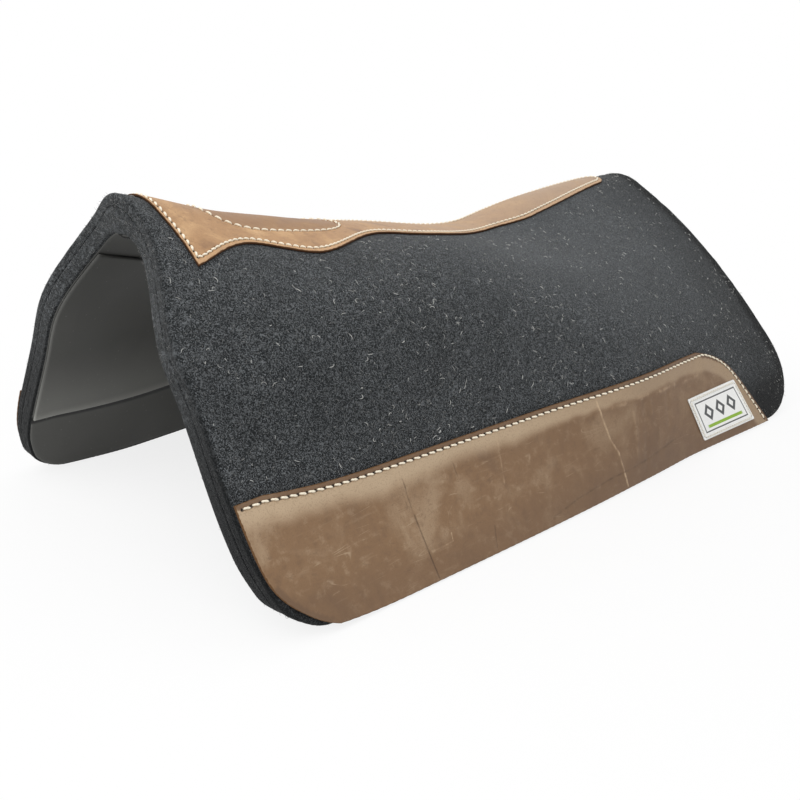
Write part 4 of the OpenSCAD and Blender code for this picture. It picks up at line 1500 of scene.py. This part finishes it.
class BuildSpineLeather(PadOperator, bpy.types.Operator):
    """Builds the shaped leather over the withers and the spine"""
    bl_idname = "saddle_pad.spine_leather"
    bl_label = "Spine Leather"

    def execute(self, context):
        pad, surface = self.given(context)
        leather, stitching, c = pad.leather, pad.stitching, pad.colours
        straight = leather.spine_tip_y - leather.spine_tip_r
        turn = np.linspace(0.03, math.pi / 2, 60)
        y = np.concatenate([np.linspace(leather.spine_front_y, straight, 500),
                            straight + leather.spine_tip_r * np.sin(turn)])
        w = spine_half_width(pad, y)
        near, off = np.column_stack([y, w]), np.column_stack([y, -w])
        front = np.column_stack([np.full(41, y[0]), np.linspace(w[0], -w[0], 41)])
        loop = closed_loop([bowed(pad, line) for line in (off, near[::-1], front)], 2.5 * MM)
        edge = Line([np.vstack([loop, loop[:1]])])
        seams = Seams([spine_leather_row(pad), oval_row(pad)], stitching.hole_r)

        def oval(y, s):
            across = np.abs(s) / stitching.oval_half_width
            along = np.abs(y - stitching.oval_y) / stitching.oval_half_length
            power = 2 / stitching.oval_power
            return smooth_step(1.06, 0.9, across ** power + along ** power)

        def rim(y, s):
            """Mask of the margin outside the stitches."""
            d = edge.distance(np.column_stack([y, s]))
            return smooth_step(stitching.inset, stitching.inset - 1.2 * MM, d)

        def relief(y, s):
            """Swells of the hide, the gutters of its stitches, and the oval pressed in."""
            swell = (-0.22 * MM * noise(y, s, 38 * MM, seed=11)
                     - 0.08 * MM * noise(y, s, 12 * MM, seed=12))
            return swell + seams.press(y, s) + 0.45 * MM * oval(y, s)

        finish = leather_finish("spine_leather", c.spine, c.spine_light, c.spine_dark, c.spine_cut,
                                patch_scale=23.0, contrast=0.9, extra=spine_tones)
        depth = Depths(pad).spine_leather
        piece = build_sheet(
            "spine_leather_strip", surface, loop, depth, depth + leather.spine_t, spacing=3 * MM,
            rounds=(leather.edge_round, 0.3 * MM), relief=relief, extra=seams.places(), walls=4,
            marks={"hole": seams.hole, "oval": oval, "rim": rim})
        finish_piece(piece, finish, "spine_leather")
        return {"FINISHED"}


class Crease(NamedTuple):
    """A crease in a wear leather, in millimetres. Its shade is -1 for painted shade in its groove
    and 1 for pale pull-up with a painted highlight.
    """
    places: tuple
    half_width: float
    depth: float
    shade: float


# A pale shade on a raised crease is partly a painted highlight along its ridge; a dark shade in a
# sunken one is painted shade in its groove
CREASES = (
    Crease(((133, 306), (133, 322), (135, 350), (137, 397)), 0.8, 0.3, -0.85),
    Crease(((129, 318), (130, 330)), 0.7, 0.15, -0.5),
    Crease(((190, 307), (192, 322)), 0.7, 0.15, -0.6),
    Crease(((216, 375), (210, 396)), 0.8, 0.2, -0.6),
    Crease(((166, 365), (165, 372)), 0.8, 0.1, 1.0),
    Crease(((139, 373), (165, 372)), 0.5, 0.1, 0.45),
    Crease(((247, 302), (245, 322), (242, 342)), 1.2, -0.15, 0.45),
    Crease(((290, 391), (330, 384), (380, 380), (440, 378), (505, 370)), 1.0, 0.25, -0.6),
    Crease(((381, 299), (385, 318), (391, 340), (401, 357), (410, 395)), 1.3, -0.4, 0.95),
    Crease(((400, 310), (420, 310)), 2.4, -0.35, 0.5),
    Crease(((440, 309), (460, 309)), 2.4, -0.35, 0.5),
    Crease(((482, 311), (514, 311)), 2.6, -0.35, 0.55),
    Crease(((532, 313), (568, 313)), 2.6, -0.3, 0.4),
    Crease(((431, 315), (433, 345), (432, 370)), 3.0, -0.35, 0.3),
    Crease(((463, 315), (464, 331)), 2.5, -0.3, 0.3),
    Crease(((475, 349), (474, 371)), 2.5, -0.3, 0.25),
    Crease(((450, 315), (452, 345), (447, 384)), 4.0, 0.35, -0.12),
    Crease(((497, 315), (494, 352)), 4.0, 0.3, -0.1),
)
OFF_CREASE_SHIFT = 640      # The off leather has its creases in reverse, counted from here


class Creases:
    """The creases of one wear leather, as relief and as shade, which holds painted shade and
    highlight.
    """

    def __init__(self, side):
        shift = 0 if side == NEAR else OFF_CREASE_SHIFT
        self.lines = []
        for crease in CREASES:
            places = np.array(crease.places, float) * [side, 1] + [shift, 0]
            self.lines.append(Line([places * MM]))

    def places(self):
        """Places that give the leather enough detail along its creases."""
        made = []
        for crease, line in zip(CREASES, self.lines):
            half_width = crease.half_width * MM
            for off in (-1.6, -0.8, 0, 0.8, 1.6):
                made.append(line.samples[::5] + [off * half_width, 0])
        return np.vstack(made)

    def total(self, y, s, amount):
        """Sum of the creases' depths or shades at places, which fade with the distance."""
        places = np.column_stack([y, np.abs(s)])
        out = np.zeros(len(y))
        for crease, line in zip(CREASES, self.lines):
            d = line.distance(places) / (crease.half_width * MM)
            out += getattr(crease, amount) * np.exp(-d ** 2)
        return out

    def relief(self, y, s):
        """Depth of the creases."""
        return MM * self.total(y, s, "depth")

    def shade(self, y, s):
        """Shade of the creases, from painted shade in grooves to pale pull-up with painted
        highlight.
        """
        return np.clip(self.total(y, s, "shade"), -1, 1)


class BuildWearLeathers(PadOperator, bpy.types.Operator):
    """Builds the wear leather at the bottom of each flap"""
    bl_idname = "saddle_pad.wear_leathers"
    bl_label = "Wear Leathers"

    def execute(self, context):
        pad, surface = self.given(context)
        leather, c = pad.leather, pad.colours
        finish = leather_finish("wear_leather", c.wear, c.wear_light, c.wear_dark, c.cut_edge,
                                patch_scale=19.0, contrast=0.45, extra=wear_tones)
        bottom = surface.flap - leather.wear_hem_gap
        seams = Seams([wear_leather_row(pad, surface)], pad.stitching.hole_r)

        def front_y(s):
            """Front edge of the leather, with its own corner."""
            felt_corner = surface.corner(s, pad.outline.front_corner_r)
            leather_corner = surface.corner(s, leather.wear_corner_r)
            return surface.front_edge(s) - felt_corner + leather_corner + leather.wear_front_margin

        sides = four_sides(front_y, lambda s: wear_rear(pad, s), wear_top(pad), bottom)
        loop = closed_loop(sides, 2.5 * MM)
        ahead = surface.front_edge(loop[:, 1]) + leather.wear_front_margin + 1 * MM
        over_row = Line([loop[(loop[:, 1] < bottom - 4 * MM) & (loop[:, 0] > ahead)]], spacing=None)

        def under(y, s):
            """Distance below the row of stitches, and less than 0 above it."""
            places = np.column_stack([y, np.abs(s)])
            d = seams.lines.distance(places)
            return np.where(over_row.distance(places) < pad.stitching.inset, -d, d)

        def band_edge(y):
            """How far below the row the band ends."""
            return MM * (15 + 3.5 * noise(y, y * 0, 55 * MM, seed=21)
                         + 1.5 * noise(y, y * 0, 14 * MM, seed=22))

        def band(y, s):
            """Mask of the paler band below the row."""
            d = under(y, s)
            soft = 3 * MM + 6 * MM * smooth_step(0.38, 0.2, y)
            return smooth_step(0, 2 * MM, d) * smooth_step(soft, -soft, d - band_edge(y))

        def rim(y, s):
            """Mask of the margin above the row."""
            return smooth_step(0.5 * MM, -1.0 * MM, under(y, s))

        def hole(y, s):
            return seams.hole(y, np.abs(s))

        def hide_relief(y, s):
            """Swells of the hide, the ridge under its band, and the gutter of its stitches."""
            swell = (-0.3 * MM * noise(y, s, 42 * MM, seed=23)
                     - 0.12 * MM * noise(y, s, 13 * MM, seed=24))
            past = (under(y, s) - band_edge(y) - 3 * MM) / (4 * MM)
            return swell - 0.55 * MM * np.exp(-past ** 2) + seams.press(y, np.abs(s))

        depth = Depths(pad).wear_leather
        for side, name in SIDE_NAMES.items():
            creases = Creases(side)
            piece = build_sheet(
                f"wear_leather_{name}_hide", surface, loop, depth, depth + leather.wear_t,
                side=side, spacing=2.4 * MM, rounds=(leather.edge_round, 0.3 * MM),
                relief=lambda y, s: hide_relief(y, s) + creases.relief(y, s),
                marks={"hole": hole, "band": band, "rim": rim, "crease": creases.shade},
                extra=np.vstack([seams.places(), creases.places()]), walls=4,
                half_gap=pad.layers.seam_gap / 2)
            finish_piece(piece, finish, f"wear_leather_{name}")
        return {"FINISHED"}


class BuildLabel(PadOperator, bpy.types.Operator):
    """Builds the label patch on the near wear leather"""
    bl_idname = "saddle_pad.label"
    bl_label = "Label Patch"

    def execute(self, context):
        pad, surface = self.given(context)
        leather = pad.leather
        w, h, r = leather.label_w, leather.label_h, 1.6 * MM
        outline = []
        for k, (cu, cv) in enumerate(((w - r, h - r), (r, h - r), (r, r), (w - r, r))):
            turn = np.linspace(0, math.pi / 2, 7) + k * math.pi / 2
            outline.append(np.column_stack([cu + r * np.cos(turn), cv + r * np.sin(turn)]))
        outline = np.vstack(outline + [outline[0][:1]])
        places = np.column_stack(on_label(pad, outline[:, 0] / w, outline[:, 1] / h))
        loop = closed_loop([places], 1.2 * MM)
        seams = Seams(label_rows(pad), 0.6 * pad.stitching.hole_r)

        def print_v(y, s):
            """Share of the way down the label."""
            return (np.abs(s) - label_top(pad)) / h

        def print_u(y, s):
            """Share of the way along the label."""
            return (y - label_front(pad) - leather.label_lean * print_v(y, s)) / w

        def relief(y, s):
            return 0.25 * seams.press(y, s) - 0.12 * MM * noise(y, s, 26 * MM, seed=31)

        depth = Depths(pad).label
        piece = build_sheet(
            "label_patch_print", surface, loop, depth, depth + leather.label_t, spacing=2 * MM,
            rounds=(0.5 * MM, 0.1 * MM), relief=relief, extra=seams.places(), walls=3,
            marks={"print_u": print_u, "print_v": print_v, "hole": seams.hole},
            half_gap=pad.layers.seam_gap / 2)
        finish_piece(piece, label_finish("label", pad.colours), "label_patch")
        return {"FINISHED"}


class BuildStitching(PadOperator, bpy.types.Operator):
    """Builds the rows of stitches on the leathers and round the label"""
    bl_idname = "saddle_pad.stitching"
    bl_label = "Stitching"

    def execute(self, context):
        pad, surface = self.given(context)
        waxed = thread_finish("waxed_thread", pad.colours.thread)
        white = thread_finish("white_thread", WHITE_THREAD)
        gap, depths = pad.layers.seam_gap / 2, Depths(pad)
        on_spine, on_wear = depths.spine_leather, depths.wear_leather
        wear = [wear_leather_row(pad, surface)]
        rows = (
            ("spine_leather_stitching", [spine_leather_row(pad)], on_spine, NEAR, 0.0, waxed),
            ("wither_oval_stitching", [oval_row(pad)], on_spine, NEAR, 0.0, waxed),
            ("wear_leather_stitching_left", wear, on_wear, NEAR, gap, waxed),
            ("wear_leather_stitching_right", wear, on_wear, OFF, gap, waxed),
            ("label_stitching", label_rows(pad), depths.label, NEAR, gap, white),
        )
        for node, holes, depth, side, half_gap, finish in rows:
            piece = row_piece(f"{node}_thread", pad, surface, holes, depth, side, half_gap)
            finish_piece(piece, finish, node)
        return {"FINISHED"}


class BuildFeltFibres(PadOperator, bpy.types.Operator):
    """Scatters loose wool fibres over the felt and along its cut edges"""
    bl_idname = "saddle_pad.felt_fibres"
    bl_label = "Felt Fibres"

    def execute(self, context):
        pad, surface = self.given(context)
        finish = fibre_finish("loose_fibres", pad.colours.felt_pit_and_shade, LOOSE_FIBRE)
        f = pad.fibres
        kinds = (
            ("lint", f.lint_count, f.lint_length, f.lint_r, (0.45, 1.0), 0.6 * MM),
            ("nap", f.nap_count, f.nap_length, f.nap_r, (0.1, 0.5), 0.4 * MM),
        )
        for side, name in SIDE_NAMES.items():
            rng = np.random.default_rng(FIBRE_SEED + side)
            for kind, count, sizes, radius, shades, lift in kinds:
                y, s = scatter(pad, surface, rng, count)
                piece = loose_fibres(f"outer_felt_{name}_{kind}", surface, rng, y, s * side, sizes,
                                     radius, shades, lift)
                finish_piece(piece, finish)
            piece = edge_fibres(f"outer_felt_{name}_fuzz", pad, surface, rng, side)
            finish_piece(piece, finish)
        return {"FINISHED"}


def scatter(pad, surface, rng, count):
    """Random places on the bare outer felt, thicker in some patches."""
    front, tip = pad.leather.spine_front_y, pad.leather.spine_tip_y
    edge = 5 * MM
    found = np.zeros((0, 2))
    while len(found) < count:
        s = rng.uniform(0, surface.flap, 4 * count)
        y = rng.uniform(surface.front_edge(s) + edge, surface.rear_edge(s) - edge)
        near_spine = s < spine_half_width(pad, np.minimum(y, tip)) + 4 * MM
        under_spine = near_spine & (y > front - edge) & (y < tip + edge)
        under_wear = (s > wear_top(pad) - 4 * MM) & (y < wear_rear(pad, s) + 6 * MM)
        thick = 0.35 + 0.65 * smooth_step(-0.3, 0.5, noise(y, s, 70 * MM, seed=41))
        keep = (rng.uniform(0, 1, len(y)) < thick) & ~under_spine & ~under_wear
        found = np.vstack([found, np.column_stack([y, s])[keep]])
    return found[:count, 0], found[:count, 1]


def loose_fibres(name, surface, rng, y, s, sizes, radius, shades, lift, rings=6):
    """Curly fibres that lie on the outer felt."""
    count = len(y)
    share = np.linspace(0, 1, rings)
    size = rng.uniform(*sizes, count)
    heading = rng.uniform(0, 2 * math.pi, count)
    curl = rng.normal(0, 2.2, count)
    bend = rng.normal(0, 1.2, count)
    turned = heading[:, None] + curl[:, None] * (share - 0.5) + bend[:, None] * share ** 2
    step = size[:, None] / (rings - 1)
    y = y[:, None] + np.cumsum(np.cos(turned) * step, axis=1)
    s = s[:, None] + np.cumsum(np.sin(turned) * step, axis=1)
    height = rng.uniform(0.1, 1.0, count)[:, None] * lift
    depth = -0.25 * MM - height * np.sin(math.pi * share)
    depth = depth + 0.35 * MM * np.abs(2 * share - 1) ** 4
    return fibre_tubes(name, surface, rng, y, s, depth, radius, shades)


def fibre_tubes(name, surface, rng, y, s, depth, radius, shades, fade=0.0):
    """Thin tapered tubes along places[fibre, ring]. fade darkens those lower down."""
    centres, ups = centre_lines(surface, y, s, depth)
    share = np.linspace(-1, 1, y.shape[1])
    thick = radius * rng.uniform(0.7, 1.2, len(y))[:, None]
    radii = thick * (1 - 0.7 * np.abs(share) ** 3)
    darker = 1 - fade * smooth_step(0.12, 0.3, np.abs(s[:, :1]))
    shade = np.broadcast_to(rng.uniform(*shades, len(y))[:, None] * darker, y.shape)
    return build_tubes(name, centres, ups, radii, 3, {"shade": shade})


def edge_fibres(name, pad, surface, rng, side, rings=5):
    """Short fibres that stand out of both felts' cut edges."""
    count = pad.fibres.fuzz_count
    lines = flap_sides(surface, 0.5 * MM, surface.flap)[:3]
    loop = np.vstack([resample(line, 1 * MM) for line in lines])
    along = unit(np.gradient(loop, axis=0))
    thick = 1 + 2.5 * smooth_step(0.12, 0.05, loop[:, 1])
    at = rng.choice(len(loop), count, p=thick / thick.sum())
    outward = np.column_stack([along[at, 1], -along[at, 0]])
    middle = np.array([surface.length / 2, surface.flap / 2])
    outward *= np.sign(np.sum(outward * (loop[at] - middle), axis=1))[:, None]
    deepest = Depths(pad).lining
    depth = rng.uniform(0.4 * MM, deepest, count)
    size = rng.uniform(*pad.fibres.fuzz_length, count)
    out = rng.uniform(0.1, 0.75, count)
    slide = rng.uniform(-1, 1, count)
    rise = rng.uniform(-1, 1, count)
    curl = rng.normal(0, 1.0, count)
    share = np.linspace(0, 1, rings)
    inset = rounding(pad.layers.outer_round, depth) + 0.3 * MM
    start = loop[at] - outward * inset[:, None]
    reach = size[:, None] * share
    bow = np.sin(math.pi * share) * size[:, None] * 0.25
    places = (start[:, None] + outward[:, None] * (reach * out[:, None])[..., None]
              + along[at][:, None] * (reach * slide[:, None] + bow * curl[:, None])[..., None])
    depths = np.clip(depth[:, None] + reach * rise[:, None] * 0.8, 0.1 * MM, deepest)
    s = np.minimum(places[..., 1], surface.flap - 1.5 * MM)
    return fibre_tubes(name, surface, rng, places[..., 0], s * side, depths, pad.fibres.fuzz_r,
                       (0.0, 0.5), fade=0.9)


# Each lamp's azimuth and elevation in degrees, its distance and its size
LAMPS = {"key": (20, 52, 1.7, 1.4), "fill": (-28, 12, 1.6, 1.2), "top": (160, 74, 1.7, 1.6)}


class BuildStage(PadOperator, bpy.types.Operator):
    """Lays the floor and sets the lights and the camera"""
    bl_idname = "saddle_pad.stage"
    bl_label = "Stage"

    def execute(self, context):
        scene = context.scene
        pad = scene.saddle_pad
        stage = pad.stage
        scene.view_settings.view_transform = "Standard"
        low, high = cad_box
        bpy.ops.mesh.primitive_plane_add(size=14, location=(0, 0, low.z - FLOOR_DROP))
        floor = bpy.context.object
        floor.name = "floor"
        floor.data.materials.append(backdrop_finish("floor", pad.colours.floor))
        sky_light(stage.ambient)
        for name, placing in LAMPS.items():
            area_lamp(f"{name}_lamp", (low + high) / 2, *placing, getattr(stage, f"{name}_power"))
        data = bpy.data.cameras.new("camera")
        data.lens = stage.lens
        camera = bpy.data.objects.new("camera", data)
        scene.collection.objects.link(camera)
        towards = direction(stage.azimuth, stage.elevation)
        camera.location = Vector(stage.aim) + stage.distance * towards
        camera.rotation_euler = Euler((math.pi / 2 - stage.elevation, 0, stage.azimuth))
        scene.camera = camera
        return {"FINISHED"}


def direction(azimuth, elevation):
    """Unit vector from the object towards an azimuth and an elevation."""
    return Vector((math.sin(azimuth) * math.cos(elevation),
                   -math.cos(azimuth) * math.cos(elevation), math.sin(elevation)))


def area_lamp(name, target, azimuth, elevation, distance, size, power):
    """A square soft lamp, aimed at a target. Angles are in degrees."""
    data = bpy.data.lights.new(name, "AREA")
    data.size, data.energy = size, power
    lamp = bpy.data.objects.new(name, data)
    bpy.context.scene.collection.objects.link(lamp)
    towards = direction(math.radians(azimuth), math.radians(elevation))
    lamp.location = target + distance * towards
    lamp.rotation_euler = towards.to_track_quat("Z", "Y").to_euler()


def sky_light(strength):
    """Even light all round, which the camera and reflections see as white."""
    world = bpy.data.worlds.new("studio")
    bpy.context.scene.world = world
    world.use_nodes = True
    tree = world.node_tree
    tree.nodes.clear()
    even = add(tree, "Background", {"Color": WHITE, "Strength": strength})
    white = add(tree, "Background", {"Color": WHITE, "Strength": 1.0})
    mix = add(tree, "MixShader", {
        0: looked_at(tree), 1: even.outputs[0], 2: white.outputs[0]})
    add(tree, "OutputWorld", {"Surface": mix.outputs[0]})


class SaddlePadPanel(bpy.types.Panel):
    """Lists the saddle pad's operators and settings"""
    bl_idname = "VIEW3D_PT_saddle_pad"
    bl_label = "Saddle Pad"
    bl_space_type = "VIEW_3D"
    bl_region_type = "UI"
    bl_category = "Saddle Pad"

    def draw(self, context):
        for operator in OPERATORS:
            self.layout.operator(operator.bl_idname)
        for group in SaddlePad.__annotations__:
            settings = getattr(context.scene.saddle_pad, group)
            box = self.layout.box()
            box.label(text=group.capitalize())
            for key in settings.__annotations__:
                box.prop(settings, key)


OPERATORS = (BuildFelts, BuildLining, BuildBarInserts, BuildSpineSeam, BuildSpineLeather,
             BuildWearLeathers, BuildLabel, BuildStitching, BuildFeltFibres, BuildStage)
CLASSES = (PadOutline, PadContour, PadLayers, PadLeather, PadStitching, PadFibres, PadColours,
           PadStage, SaddlePad, *OPERATORS, SaddlePadPanel)


def register():
    """Registers the classes and gives the scene its settings."""
    for cls in CLASSES:
        bpy.utils.register_class(cls)
    bpy.types.Scene.saddle_pad = bpy.props.PointerProperty(type=SaddlePad)


def unregister():
    """Undoes register."""
    del bpy.types.Scene.saddle_pad
    for cls in reversed(CLASSES):
        bpy.utils.unregister_class(cls)


def main():
    """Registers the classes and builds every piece."""
    register()
    for operator in OPERATORS:
        group, name = operator.bl_idname.split(".")
        getattr(getattr(bpy.ops, group), name)()


if __name__ == "__main__":
    main()
